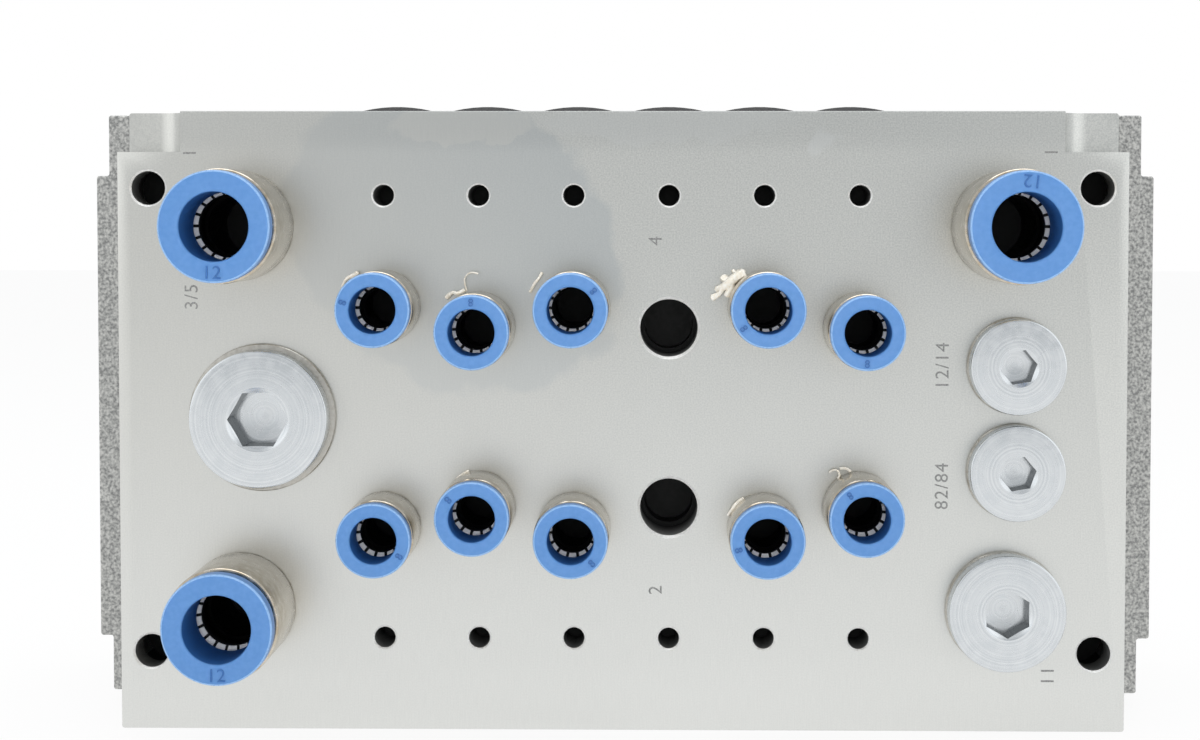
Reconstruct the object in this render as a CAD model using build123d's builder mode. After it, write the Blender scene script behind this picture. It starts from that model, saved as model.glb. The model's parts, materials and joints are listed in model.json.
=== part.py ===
from build123d import *
import os

# Pneumatic valve island: six valve slices clamped between two cast end plates, screwed on the back of
# a connector plate that carries push-in tube fittings and blanking plugs.
# Sizes are in mm. X runs along the row of slices and Z is up. The port face lies in the plane Y = 0
# and looks towards -Y, and the origin is the centre of the pattern of output ports.

# Valve slices and the seals between them
slice_pitch = 18.0
slice_count = 6
slice_seal_thickness = 0.5
slice_depth = 51.5
slice_body_height = 92.0
slice_edge = 0.4
spool_bore_radius = 5.5
spool_axis_depth = 21.5
gallery_depth = 29.5
gallery_radius = 4.5
supply_gallery_height = 34.0
pilot_gallery_depth = 41.5
pilot_gallery_radius = 1.6
output_passage_radius = 3.5

# Connector plate
plate_depth = 20.0
plate_end_margin = 9.3
plate_top_margin = 1.8
plate_edge = 0.5
corner_pocket_length = 12.1
corner_pocket_height = 7.75
corner_pocket_depth = 10.0
corner_pocket_radius = 6.0

# Panel holes, sunk from behind
panel_hole_end_margin = 5.9
panel_hole_top_margin = 14.55
panel_hole_bottom_margin = 14.95
panel_hole_radius = 3.2
panel_hole_web = 6.5
panel_sink_radius = 5.5
panel_hole_chamfer = 0.3

# Ports in the plate
output_port_far_height = 21.06
output_port_near_height = 17.02
open_valve_count_from_left = 4
side_port_margin = 18.25
side_port_height = 36.3
exhaust_port_margin = 13.75
pilot_port_margin = 20.05
pilot_port_height = 10.0
small_thread_radius = 5.85
medium_thread_radius = 7.5
large_thread_radius = 9.35
thread_depth = 13.0
thread_gap = 0.05
port_chamfer = 0.8
small_passage_radius = 4.7
medium_passage_radius = 6.0
large_passage_radius = 8.0
pilot_passage_radius = 2.5

# Small threaded holes, two in line with each valve
accessory_hole_radius = 2.0
accessory_hole_height = 42.05
accessory_hole_depth = 12.0
accessory_hole_chamfer = 0.3

# Push-in fittings for 8 mm tube
small_tube_diameter = 8.0
small_ring_top = 17.0
small_ring_diameter = 13.75
small_flange_thickness = 2.6
small_body_diameter = 14.0
small_tube_insertion = 16.8
small_tooth_depth = 12.0
small_tooth_count = 14
small_shank_length = 9.5
small_key_width = 6.0

# Push-in fittings for 12 mm tube
large_tube_diameter = 12.0
large_ring_top = 23.0
large_ring_diameter = 20.3
large_flange_thickness = 3.2
large_body_diameter = 21.0
large_tube_insertion = 22.0
large_tooth_depth = 15.5
large_tooth_count = 18
large_shank_length = 11.0
large_key_width = 10.0

# Shared by the fittings of both sizes
ring_travel = 1.3
ring_rest_gap = 0.2
ring_tube_clearance = 0.25
ring_sleeve_wall = 0.85
ring_edge_radius = 0.6
ring_mouth_chamfer = 0.35
bead_height = 0.8
bead_width = 0.35
bead_gap = 0.1
guide_clearance = 0.1
lip_thickness = 1.2
body_edge = 0.5
body_lift = 0.3
tube_clearance = 0.1
grip_thickness = 0.3
grip_clearance = 0.05
tooth_bite = 0.1
tooth_length = 1.0
tooth_drop = 1.0
tooth_gap = 0.55
seal_pocket_depth = 3.2
seal_height = 1.7
seal_bite = 0.12
seal_clearance = 0.05

# Blanking plugs: flange diameter and thickness, and the width, depth and turn of the key socket
exhaust_plug_diameter = 26.0
exhaust_plug_flange = 4.5
exhaust_plug_key = 10.0
exhaust_plug_key_depth = 7.0
exhaust_plug_key_turn = 0.0
supply_plug_diameter = 22.0
supply_plug_flange = 4.0
supply_plug_key = 8.0
supply_plug_key_depth = 5.5
supply_plug_key_turn = 30.0
pilot_plug_diameter = 18.0
pilot_plug_flange = 3.5
pilot_plug_key = 6.0
pilot_plug_key_depth = 5.0
pilot_plug_key_turn = 10.0
plug_edge = 0.35
plug_shank_length = 9.0
plug_key_sink = 0.3
plug_seal_thickness = 1.2
exhaust_seal_overhang = 1.0
plug_seal_overhang = 0.2

# Cast end plates
base_gasket_thickness = 0.5
base_gasket_margin = 3.0
end_plate_length = 50.55
end_plate_shoulder_step = 2.5
end_plate_top_rise = 0.05
end_plate_bottom_gap = 2.75
end_plate_depth = 47.5
end_plate_corner = 0.5
cast_edge_radius = 0.4
cored_pocket_margin = 12.8
cored_pocket_width = 16.0
cored_pocket_height = 15.5
cored_pocket_rib = 3.0
cored_pocket_depth = 34.0
cored_pocket_corner = 2.5
cast_draft = 2.0
passage_end_depth = 37.5

# Tie rods along the row
tie_rod_radius = 2.5
tie_rod_clearance = 0.2
tie_rod_height = 26.0
tie_rod_front_depth = 6.5
tie_rod_back_depth = 39.5
tie_rod_head_radius = 4.25
tie_rod_head_length = 5.0
tie_rod_head_sink = 6.0
tie_rod_engagement = 14.0
tie_rod_key = 4.0

# Screws that hold the island on the connector plate
island_screw_radius = 2.45
island_screw_inner_margin = 7.75
island_screw_inner_drop = 10.75
island_screw_outer_margin = 29.75
island_screw_outer_drop = 7.75
island_screw_clearance = 0.3
island_screw_engagement = 8.0

# Socket heads shared by the tie rods and the island screws
socket_depth = 2.5
socket_head_edge = 0.4
socket_head_clearance = 0.4

# Spools
spool_clearance = 0.05
spool_stroke = 3.0
spool_end_gap = 0.5
spool_neck_radius = 3.0
spool_centre_land = 7.5
spool_neck_length = 26.5

# Pilot caps, with a solenoid in each
cap_height = 13.75
cap_inset = 1.0
cap_crown_radius = 30.0
cap_wall = 1.6
cap_edge = 0.8
solenoid_radius = 5.0
solenoid_length = 36.0
solenoid_gap = 0.2
solenoid_front_gap = 1.0

# Manual override buttons
button_radius = 2.5
button_clearance = 0.08
button_travel = 1.5
button_proud = 0.5
button_edge = 0.2
button_collar_radius = 3.4
button_collar_thickness = 1.0
button_collar_gap = 0.1
button_slot_width = 0.8
button_slot_depth = 0.6
button_stop_gap = 0.2

# Electrical housing
housing_end_margin = 0.75
housing_height = 48.0
housing_depth = 20.0
housing_wall = 2.0
housing_corner = 3.0
housing_back_edge = 1.5
housing_screw_margin = 4.5
housing_boss_radius = 3.5
housing_screw_radius = 1.45
housing_screw_clearance = 0.15
housing_screw_head_radius = 2.75
housing_screw_head_thickness = 2.0
housing_screw_sink = 2.4
housing_screw_engagement = 6.0
housing_screw_slot = 0.8
board_end_gap = 7.5
board_side_gap = 3.0
board_thickness = 1.6
board_gap = 7.4
header_end_margin = 4.0
header_width = 5.0
header_place = 9.0

# Multi-pin connector
connector_flange_length = 53.0
connector_flange_height = 12.5
connector_flange_thickness = 1.0
connector_flange_corner = 1.2
connector_shell_length = 39.0
connector_shell_height = 8.4
connector_shell_angle = 80.0
connector_shell_corner = 2.4
connector_shell_rise = 6.0
connector_shell_wall = 0.5
connector_insert_clearance = 0.05
connector_insert_rise = 0.8
pin_radius = 0.5
pin_rise = 5.0
pin_pitch = 2.76
pin_row_pitch = 2.84
pin_sides = 6
jack_screw_spacing = 47.04
jack_screw_key = 5.0
jack_screw_rise = 5.0
jack_screw_bore = 1.25
jack_screw_bore_depth = 4.0
jack_screw_shank = 1.4
jack_screw_shank_length = 5.0
jack_screw_clearance = 0.1
connector_cutout_gap = 0.3

# Indicator lenses
lens_radius = 1.5
lens_clearance = 0.05
lens_margin = 7.5
lens_proud = 0.5
lens_edge = 0.4
lens_board_gap = 0.2

# Largest difference at which an edge or corner still counts as the one looked for
match_tolerance = 0.01

# Places worked out from the driving sizes
slice_width = slice_pitch - slice_seal_thickness
block_half_length = (slice_count * slice_pitch + slice_seal_thickness) / 2
slice_centres = [(index - (slice_count - 1) / 2) * slice_pitch for index in range(slice_count)]
seal_centres = [(index - slice_count / 2) * slice_pitch for index in range(slice_count + 1)]
slice_half_height = slice_body_height / 2 + cap_height
rest_height = -slice_half_height
plate_top = slice_half_height - plate_top_margin
end_plate_outer = block_half_length + end_plate_length
end_plate_shoulder = end_plate_outer - end_plate_shoulder_step
end_plate_top = plate_top + end_plate_top_rise
end_plate_bottom = rest_height + end_plate_bottom_gap
plate_half_length = end_plate_outer - plate_end_margin
side_port_x = block_half_length + side_port_margin
exhaust_port_x = block_half_length + exhaust_port_margin
pilot_port_x = block_half_length + pilot_port_margin
cored_pocket_x = end_plate_outer - cored_pocket_margin
island_front = plate_depth + base_gasket_thickness
island_back = island_front + slice_depth
end_plate_back = island_front + end_plate_depth
output_height = (output_port_far_height + output_port_near_height) / 2
tie_rod_depths = (island_front + tie_rod_front_depth, island_front + tie_rod_back_depth)

# In this plane a point is (radius, height above the port face), and pieces are turned about Axis.Y
turning_plane = Plane(origin=(0, 0, 0), x_dir=(1, 0, 0), z_dir=(0, 0, -1))

# The ports in use: a name, and the place of each on the port face
output_ports = []
open_ports = []
for valve, x in enumerate(slice_centres, start=1):
    height = output_port_far_height if valve % 2 else output_port_near_height
    for port, z in ((4, height), (2, -height)):
        if valve == open_valve_count_from_left:
            open_ports.append((x, z))
        else:
            output_ports.append((f"port_{port}_valve_{valve}", x, z))
supply_ports = [
    ("supply_1_left", -side_port_x, side_port_height),
    ("supply_1_right", side_port_x, side_port_height),
    ("supply_11_left", -side_port_x, -side_port_height),
]
supply_plug_place = (side_port_x, -side_port_height)
exhaust_plug_place = (-exhaust_port_x, 0)
pilot_plug_places = [(pilot_port_x, pilot_port_height), (pilot_port_x, -pilot_port_height)]
small_port_places = [(x, z) for name, x, z in output_ports] + open_ports + pilot_plug_places
medium_port_places = [(x, z) for name, x, z in supply_ports] + [supply_plug_place]
accessory_hole_places = [(x, side * accessory_hole_height) for x in slice_centres for side in (1, -1)]
island_screw_places = [
    (side * (block_half_length + margin), level * (slice_half_height - drop))
    for side in (-1, 1)
    for level in (-1, 1)
    for margin, drop in (
        (island_screw_inner_margin, island_screw_inner_drop),
        (island_screw_outer_margin, island_screw_outer_drop),
    )
]
panel_places = [
    (side * (plate_half_length - panel_hole_end_margin), z)
    for side in (-1, 1)
    for z in (plate_top - panel_hole_top_margin, rest_height + panel_hole_bottom_margin)
]
housing_length = 2 * (block_half_length - housing_end_margin)
housing_screw_places = [
    (side * (housing_length / 2 - housing_screw_margin), level * (housing_height / 2 - housing_screw_margin))
    for side in (-1, 1)
    for level in (-1, 1)
]
tie_rod_places = [(depth, side * tie_rod_height) for depth in tie_rod_depths for side in (1, -1)]

os.makedirs("parts", exist_ok=True)


def face_rims(piece, radius):
    """the circular edges of one radius in the port face"""
    return piece.edges().filter_by(GeomType.CIRCLE).filter_by(
        lambda rim: abs(rim.radius - radius) < match_tolerance and abs(rim.center().Y) < match_tolerance
    )


# Connector plate: milled from one aluminium block, with the ports drilled through it
with BuildPart() as connector_plate:
    with BuildSketch(Plane.XZ):
        with Locations((0, (plate_top + rest_height) / 2)):
            Rectangle(2 * plate_half_length, plate_top - rest_height)
    extrude(amount=-plate_depth)
    chamfer(connector_plate.faces().sort_by(Axis.Y)[0].edges(), plate_edge)
    # Milled pocket in each top corner, with the cutter's radius along its inner wall
    for side in (-1, 1):
        with BuildSketch(Plane.XY.offset(plate_top - corner_pocket_height)) as pocket:
            with Locations((side * plate_half_length, 0)):
                Rectangle(2 * corner_pocket_length, 2 * corner_pocket_depth)
            fillet(pocket.vertices(), corner_pocket_radius)
        extrude(amount=corner_pocket_height, mode=Mode.SUBTRACT)
    # Ports, and the passages that go on through the plate
    with BuildSketch(Plane.XZ):
        with Locations(*small_port_places):
            Circle(small_thread_radius)
        with Locations(*medium_port_places):
            Circle(medium_thread_radius)
        with Locations(exhaust_plug_place):
            Circle(large_thread_radius)
        with Locations(*accessory_hole_places):
            Circle(accessory_hole_radius)
    extrude(amount=-accessory_hole_depth, mode=Mode.SUBTRACT)
    with BuildSketch(Plane.XZ.offset(-accessory_hole_depth)):
        with Locations(*small_port_places):
            Circle(small_thread_radius)
        with Locations(*medium_port_places):
            Circle(medium_thread_radius)
        with Locations(exhaust_plug_place):
            Circle(large_thread_radius)
    extrude(amount=accessory_hole_depth - thread_depth, mode=Mode.SUBTRACT)
    with BuildSketch(Plane.XZ.offset(-thread_depth)):
        with Locations(*[(x, z) for name, x, z in output_ports], *open_ports):
            Circle(small_passage_radius)
        with Locations(*medium_port_places):
            Circle(medium_passage_radius)
        with Locations(exhaust_plug_place):
            Circle(large_passage_radius)
        with Locations(*pilot_plug_places):
            Circle(pilot_passage_radius)
    extrude(amount=thread_depth - plate_depth, mode=Mode.SUBTRACT)
    chamfer(face_rims(connector_plate, small_thread_radius), port_chamfer)
    chamfer(face_rims(connector_plate, accessory_hole_radius), accessory_hole_chamfer)
    # Panel holes, sunk from behind so that the screw heads hide under the end plates
    with BuildSketch(Plane.XZ):
        with Locations(*panel_places):
            Circle(panel_hole_radius)
    extrude(amount=-plate_depth, mode=Mode.SUBTRACT)
    with BuildSketch(Plane.XZ.offset(-panel_hole_web)):
        with Locations(*panel_places):
            Circle(panel_sink_radius)
    extrude(amount=panel_hole_web - plate_depth, mode=Mode.SUBTRACT)
    chamfer(face_rims(connector_plate, panel_hole_radius), panel_hole_chamfer)
    # Threaded holes in the back for the island's own screws
    with BuildSketch(Plane.XZ.offset(-plate_depth)):
        with Locations(*island_screw_places):
            Circle(island_screw_radius + thread_gap)
    extrude(amount=island_screw_engagement, mode=Mode.SUBTRACT)
connector_plate.part.label = "connector_plate"
export_step(connector_plate.part, "parts/connector_plate.step")


def release_ring(tube_diameter, top, ring_diameter, flange_thickness, tooth_depth):
    """plastic ring that frees the tube when it is pressed in: a flange outside, and a sleeve to the teeth"""
    mouth = tube_diameter / 2 + ring_tube_clearance
    sleeve = mouth + ring_sleeve_wall
    underside = top - flange_thickness
    bead_top = underside - ring_travel - ring_rest_gap - lip_thickness - bead_gap
    sleeve_end = top - tooth_depth + tooth_drop + grip_thickness + ring_travel + ring_rest_gap
    with BuildPart() as ring:
        with BuildSketch(turning_plane):
            with BuildLine():
                Polyline(
                    (mouth, sleeve_end),
                    (sleeve, sleeve_end),
                    (sleeve, bead_top - bead_height),
                    (sleeve + bead_width, bead_top),
                    (sleeve, bead_top),
                    (sleeve, underside),
                    (ring_diameter / 2, underside),
                    (ring_diameter / 2, top),
                    (mouth, top),
                    close=True,
                )
            make_face()
        revolve(axis=Axis.Y)
        top_rims = ring.edges().filter_by(GeomType.CIRCLE).group_by(Axis.Y)[0].sort_by(SortBy.RADIUS)
        chamfer(top_rims[0], ring_mouth_chamfer)
        top_rims = ring.edges().filter_by(GeomType.CIRCLE).group_by(Axis.Y)[0].sort_by(SortBy.RADIUS)
        fillet(top_rims[-1], ring_edge_radius)
    return ring


def fitting_body(
    tube_diameter,
    top,
    flange_thickness,
    body_diameter,
    insertion,
    tooth_depth,
    shank,
    shank_length,
    key_width,
):
    """nickel-plated body: a threaded shank with a hexagon through it, and room for ring, teeth and seal"""
    guide = tube_diameter / 2 + ring_tube_clearance + ring_sleeve_wall + guide_clearance
    cavity = guide + bead_width
    seal_bore = tube_diameter / 2 - tooth_bite + tooth_length + guide_clearance
    tube_bore = tube_diameter / 2 + tube_clearance
    body_end = top - flange_thickness - ring_travel - ring_rest_gap
    grip_seat = top - tooth_depth + tooth_drop
    tube_seat = top - insertion
    with BuildPart() as body:
        with BuildSketch(turning_plane):
            with BuildLine():
                Polyline(
                    (0, tube_seat),
                    (tube_bore, tube_seat),
                    (tube_bore, grip_seat - seal_pocket_depth),
                    (seal_bore, grip_seat - seal_pocket_depth),
                    (seal_bore, grip_seat),
                    (cavity, grip_seat),
                    (cavity, body_end - lip_thickness),
                    (guide, body_end - lip_thickness),
                    (guide, body_end),
                    (body_diameter / 2, body_end),
                    (body_diameter / 2, body_lift),
                    (shank, body_lift),
                    (shank, -shank_length),
                    (0, -shank_length),
                    close=True,
                )
            make_face()
        revolve(axis=Axis.Y)
        top_rims = body.edges().filter_by(GeomType.CIRCLE).group_by(Axis.Y)[0].sort_by(SortBy.RADIUS)
        chamfer(top_rims[-1], body_edge)
        with BuildSketch(Plane.XZ.offset(tube_seat)):
            RegularPolygon(radius=key_width / 2, side_count=6, major_radius=False)
        extrude(amount=-tube_seat - shank_length, mode=Mode.SUBTRACT)
    return body


def grip_ring(tube_diameter, top, tooth_depth, tooth_count):
    """spring steel washer whose teeth lean inwards and bite the tube"""
    tip = tube_diameter / 2 - tooth_bite
    root = tip + tooth_length
    cavity = tube_diameter / 2 + ring_tube_clearance + ring_sleeve_wall + guide_clearance + bead_width
    rim = cavity - grip_clearance
    seat = top - tooth_depth + tooth_drop
    with BuildPart() as ring:
        with BuildSketch(turning_plane):
            with BuildLine():
                Polyline(
                    (rim, seat),
                    (rim, seat + grip_thickness),
                    (root, seat + grip_thickness),
                    (tip, seat + grip_thickness - tooth_drop),
                    (tip, seat - tooth_drop),
                    (root, seat),
                    close=True,
                )
            make_face()
        revolve(axis=Axis.Y)
        gap_length = 2 * tooth_length
        with BuildSketch(Plane.XZ.offset(seat + grip_thickness)):
            with PolarLocations(root - gap_length / 2, tooth_count):
                Rectangle(gap_length, tooth_gap)
        extrude(amount=-grip_thickness - tooth_drop, mode=Mode.SUBTRACT)
    return ring


def tube_seal(tube_diameter, top, tooth_depth):
    """rubber seal in the pocket under the teeth"""
    inner = tube_diameter / 2 - seal_bite
    outer = tube_diameter / 2 - tooth_bite + tooth_length + guide_clearance - seal_clearance
    floor = top - tooth_depth + tooth_drop - seal_pocket_depth
    with BuildPart() as seal:
        with BuildSketch(Plane.XZ.offset(floor)):
            Circle(outer)
            Circle(inner, mode=Mode.SUBTRACT)
        extrude(amount=seal_height)
    return seal


# Release rings, one node for each because each is pressed by itself
small_ring = release_ring(
    small_tube_diameter, small_ring_top, small_ring_diameter, small_flange_thickness, small_tooth_depth
)
large_ring = release_ring(
    large_tube_diameter, large_ring_top, large_ring_diameter, large_flange_thickness, large_tooth_depth
)
for ports, pattern in ((output_ports, small_ring), (supply_ports, large_ring)):
    for name, x, z in ports:
        with BuildPart() as ring:
            with Locations((x, 0, z)):
                add(pattern.part)
        ring.part.label = f"release_ring_{name}"
        export_step(ring.part, f"parts/release_ring_{name}.step")

# Bodies of the fittings, screwed into the plate
small_body = fitting_body(
    small_tube_diameter,
    small_ring_top,
    small_flange_thickness,
    small_body_diameter,
    small_tube_insertion,
    small_tooth_depth,
    small_thread_radius - thread_gap,
    small_shank_length,
    small_key_width,
)
with BuildPart() as small_fitting_bodies:
    with Locations(*[(x, 0, z) for name, x, z in output_ports]):
        add(small_body.part)
small_fitting_bodies.part.label = "small_fitting_bodies"
export_step(small_fitting_bodies.part, "parts/small_fitting_bodies.step")

large_body = fitting_body(
    large_tube_diameter,
    large_ring_top,
    large_flange_thickness,
    large_body_diameter,
    large_tube_insertion,
    large_tooth_depth,
    medium_thread_radius - thread_gap,
    large_shank_length,
    large_key_width,
)
with BuildPart() as large_fitting_bodies:
    with Locations(*[(x, 0, z) for name, x, z in supply_ports]):
        add(large_body.part)
large_fitting_bodies.part.label = "large_fitting_bodies"
export_step(large_fitting_bodies.part, "parts/large_fitting_bodies.step")

# Toothed grip rings, one in each fitting
small_grip = grip_ring(small_tube_diameter, small_ring_top, small_tooth_depth, small_tooth_count)
large_grip = grip_ring(large_tube_diameter, large_ring_top, large_tooth_depth, large_tooth_count)
with BuildPart() as grip_rings:
    with Locations(*[(x, 0, z) for name, x, z in output_ports]):
        add(small_grip.part)
    with Locations(*[(x, 0, z) for name, x, z in supply_ports]):
        add(large_grip.part)
grip_rings.part.label = "grip_rings"
export_step(grip_rings.part, "parts/grip_rings.step")

# Tube seals, one in each fitting
small_seal = tube_seal(small_tube_diameter, small_ring_top, small_tooth_depth)
large_seal = tube_seal(large_tube_diameter, large_ring_top, large_tooth_depth)
with BuildPart() as tube_seals:
    with Locations(*[(x, 0, z) for name, x, z in output_ports]):
        add(small_seal.part)
    with Locations(*[(x, 0, z) for name, x, z in supply_ports]):
        add(large_seal.part)
tube_seals.part.label = "tube_seals"
export_step(tube_seals.part, "parts/tube_seals.step")


def blanking_plug(flange_diameter, flange_thickness, shank, key_width, key_depth, key_turn):
    """zinc-plated plug: a round flange on a threaded shank, with a countersunk hexagon socket"""
    top = plug_seal_thickness + flange_thickness
    mouth = key_width / 3**0.5 + plug_key_sink
    with BuildPart() as plug:
        with BuildSketch(turning_plane):
            with BuildLine():
                Polyline(
                    (0, -plug_shank_length),
                    (shank, -plug_shank_length),
                    (shank, plug_seal_thickness),
                    (flange_diameter / 2, plug_seal_thickness),
                    (flange_diameter / 2, top),
                    (0, top),
                    close=True,
                )
            make_face()
        revolve(axis=Axis.Y)
        chamfer(plug.edges().filter_by(GeomType.CIRCLE).group_by(Axis.Y)[0], plug_edge)
        with BuildSketch(Plane.XZ.offset(top)):
            RegularPolygon(radius=key_width / 2, side_count=6, major_radius=False, rotation=key_turn)
        extrude(amount=-key_depth, mode=Mode.SUBTRACT)
        # Countersink that scallops the mouth of the socket
        with BuildSketch(turning_plane):
            with BuildLine():
                Polyline((0, top - mouth / 2), (mouth, top), (0, top), close=True)
            make_face()
        revolve(axis=Axis.Y, mode=Mode.SUBTRACT)
    return plug


# Blanking plugs in the four side ports that have no tube
exhaust_plug = blanking_plug(
    exhaust_plug_diameter,
    exhaust_plug_flange,
    large_thread_radius - thread_gap,
    exhaust_plug_key,
    exhaust_plug_key_depth,
    exhaust_plug_key_turn,
)
supply_plug = blanking_plug(
    supply_plug_diameter,
    supply_plug_flange,
    medium_thread_radius - thread_gap,
    supply_plug_key,
    supply_plug_key_depth,
    supply_plug_key_turn,
)
pilot_plug = blanking_plug(
    pilot_plug_diameter,
    pilot_plug_flange,
    small_thread_radius - thread_gap,
    pilot_plug_key,
    pilot_plug_key_depth,
    pilot_plug_key_turn,
)
with BuildPart() as blanking_plugs:
    with Locations((exhaust_plug_place[0], 0, exhaust_plug_place[1])):
        add(exhaust_plug.part)
    with Locations((supply_plug_place[0], 0, supply_plug_place[1])):
        add(supply_plug.part)
    with Locations(*[(x, 0, z) for x, z in pilot_plug_places]):
        add(pilot_plug.part)
blanking_plugs.part.label = "blanking_plugs"
export_step(blanking_plugs.part, "parts/blanking_plugs.step")

# Flat seal rings under the plugs
with BuildPart() as plug_seal_rings:
    with BuildSketch(Plane.XZ):
        with Locations(exhaust_plug_place):
            Circle(exhaust_plug_diameter / 2 + exhaust_seal_overhang)
            Circle(large_thread_radius, mode=Mode.SUBTRACT)
        with Locations(supply_plug_place):
            Circle(supply_plug_diameter / 2 + plug_seal_overhang)
            Circle(medium_thread_radius, mode=Mode.SUBTRACT)
        with Locations(*pilot_plug_places):
            Circle(pilot_plug_diameter / 2 + plug_seal_overhang)
            Circle(small_thread_radius, mode=Mode.SUBTRACT)
    extrude(amount=plug_seal_thickness)
plug_seal_rings.part.label = "plug_seal_rings"
export_step(plug_seal_rings.part, "parts/plug_seal_rings.step")

# Valve slices: die-cast bodies bored from end to end for the spool, with three main galleries and two
# pilot galleries along the row, and two output passages to the plate
gallery_heights = (-supply_gallery_height, 0, supply_gallery_height)
main_galleries = [(island_front + gallery_depth, z) for z in gallery_heights]
pilot_galleries = [(island_front + pilot_gallery_depth, z) for z in (-pilot_port_height, pilot_port_height)]
for valve, x in enumerate(slice_centres, start=1):
    with BuildPart() as valve_slice:
        with BuildSketch(Plane.XZ.offset(-island_front)):
            with Locations((x, 0)):
                Rectangle(slice_width, slice_body_height)
        extrude(amount=-slice_depth)
        chamfer(valve_slice.faces().sort_by(Axis.Y)[-1].edges().filter_by(Axis.Z), slice_edge)
        with BuildSketch(Plane.XY.offset(-slice_body_height / 2)):
            with Locations((x, island_front + spool_axis_depth)):
                Circle(spool_bore_radius)
        extrude(amount=slice_body_height, mode=Mode.SUBTRACT)
        with BuildSketch(Plane.YZ.offset(x - slice_width / 2)):
            with Locations(*main_galleries):
                Circle(gallery_radius)
            with Locations(*pilot_galleries):
                Circle(pilot_gallery_radius)
            with Locations(*tie_rod_places):
                Circle(tie_rod_radius + tie_rod_clearance)
        extrude(amount=slice_width, mode=Mode.SUBTRACT)
        with BuildSketch(Plane.XZ.offset(-island_front)):
            with Locations((x, output_height), (x, -output_height)):
                Circle(output_passage_radius)
        extrude(amount=-spool_axis_depth, mode=Mode.SUBTRACT)
        # Holes that the screws of the electrical housing bite into, in the two end slices
        if valve in (1, slice_count):
            with BuildSketch(Plane.XZ.offset(-island_back)):
                with Locations(*[(side_x, z) for side_x, z in housing_screw_places if side_x * x > 0]):
                    Circle(housing_screw_radius + thread_gap)
            extrude(amount=housing_screw_engagement, mode=Mode.SUBTRACT)
    valve_slice.part.label = f"valve_slice_{valve}"
    export_step(valve_slice.part, f"parts/valve_slice_{valve}.step")

# Flat seals between the slices and against the end plates
with BuildPart() as slice_seals:
    for x in seal_centres:
        with BuildSketch(Plane.YZ.offset(x - slice_seal_thickness / 2)):
            with Locations((island_front + slice_depth / 2, 0)):
                Rectangle(slice_depth - 2 * base_gasket_margin, slice_body_height - 2 * base_gasket_margin)
            with Locations(*main_galleries):
                Circle(gallery_radius, mode=Mode.SUBTRACT)
            with Locations(*tie_rod_places):
                Circle(tie_rod_radius + tie_rod_clearance, mode=Mode.SUBTRACT)
            with Locations(*pilot_galleries):
                Circle(pilot_gallery_radius, mode=Mode.SUBTRACT)
        extrude(amount=slice_seal_thickness)
slice_seals.part.label = "slice_seals"
export_step(slice_seals.part, "parts/slice_seals.step")

# Spools: three lands with two necks between them. At rest the upper outputs are open to the exhaust and
# the lower ones to the supply, and a shift over the stroke swaps them.
spool_length = slice_body_height - 2 * spool_end_gap - spool_stroke
spool_necks = [
    side * (spool_centre_land + spool_neck_length) / 2 - spool_stroke / 2 for side in (1, -1)
]
for valve, x in enumerate(slice_centres, start=1):
    with BuildPart() as spool:
        with BuildSketch(Plane.XY.offset(-slice_body_height / 2 + spool_end_gap)):
            with Locations((x, island_front + spool_axis_depth)):
                Circle(spool_bore_radius - spool_clearance)
        extrude(amount=spool_length)
        with BuildSketch(*[Plane.XY.offset(z - spool_neck_length / 2) for z in spool_necks]):
            with Locations((x, island_front + spool_axis_depth)):
                Circle(spool_bore_radius)
                Circle(spool_neck_radius, mode=Mode.SUBTRACT)
        extrude(amount=spool_neck_length, mode=Mode.SUBTRACT)
    spool.part.label = f"spool_{valve}"
    export_step(spool.part, f"parts/spool_{valve}.step")

# Gaskets between the island and the plate: one under the slices and one under each end plate
with BuildPart() as base_gaskets:
    with BuildSketch(Plane.XZ.offset(-plate_depth)):
        Rectangle(2 * block_half_length - base_gasket_margin, slice_body_height - base_gasket_margin)
        with Locations(*[(x, side * output_height) for x in slice_centres for side in (1, -1)]):
            Circle(small_passage_radius + (output_port_far_height - output_height), mode=Mode.SUBTRACT)
        gasket_width = plate_half_length - block_half_length - base_gasket_margin
        for side in (-1, 1):
            with Locations((side * (block_half_length + base_gasket_margin / 2 + gasket_width / 2), 0)):
                Rectangle(gasket_width, slice_body_height)
        with Locations(*medium_port_places):
            Circle(medium_passage_radius, mode=Mode.SUBTRACT)
        with Locations(exhaust_plug_place):
            Circle(large_passage_radius, mode=Mode.SUBTRACT)
        with Locations(*pilot_plug_places):
            Circle(pilot_passage_radius, mode=Mode.SUBTRACT)
        with Locations(*panel_places):
            Circle(panel_sink_radius, mode=Mode.SUBTRACT)
    extrude(amount=-base_gasket_thickness)
base_gaskets.part.label = "base_gaskets"
export_step(base_gaskets.part, "parts/base_gaskets.step")


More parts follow.
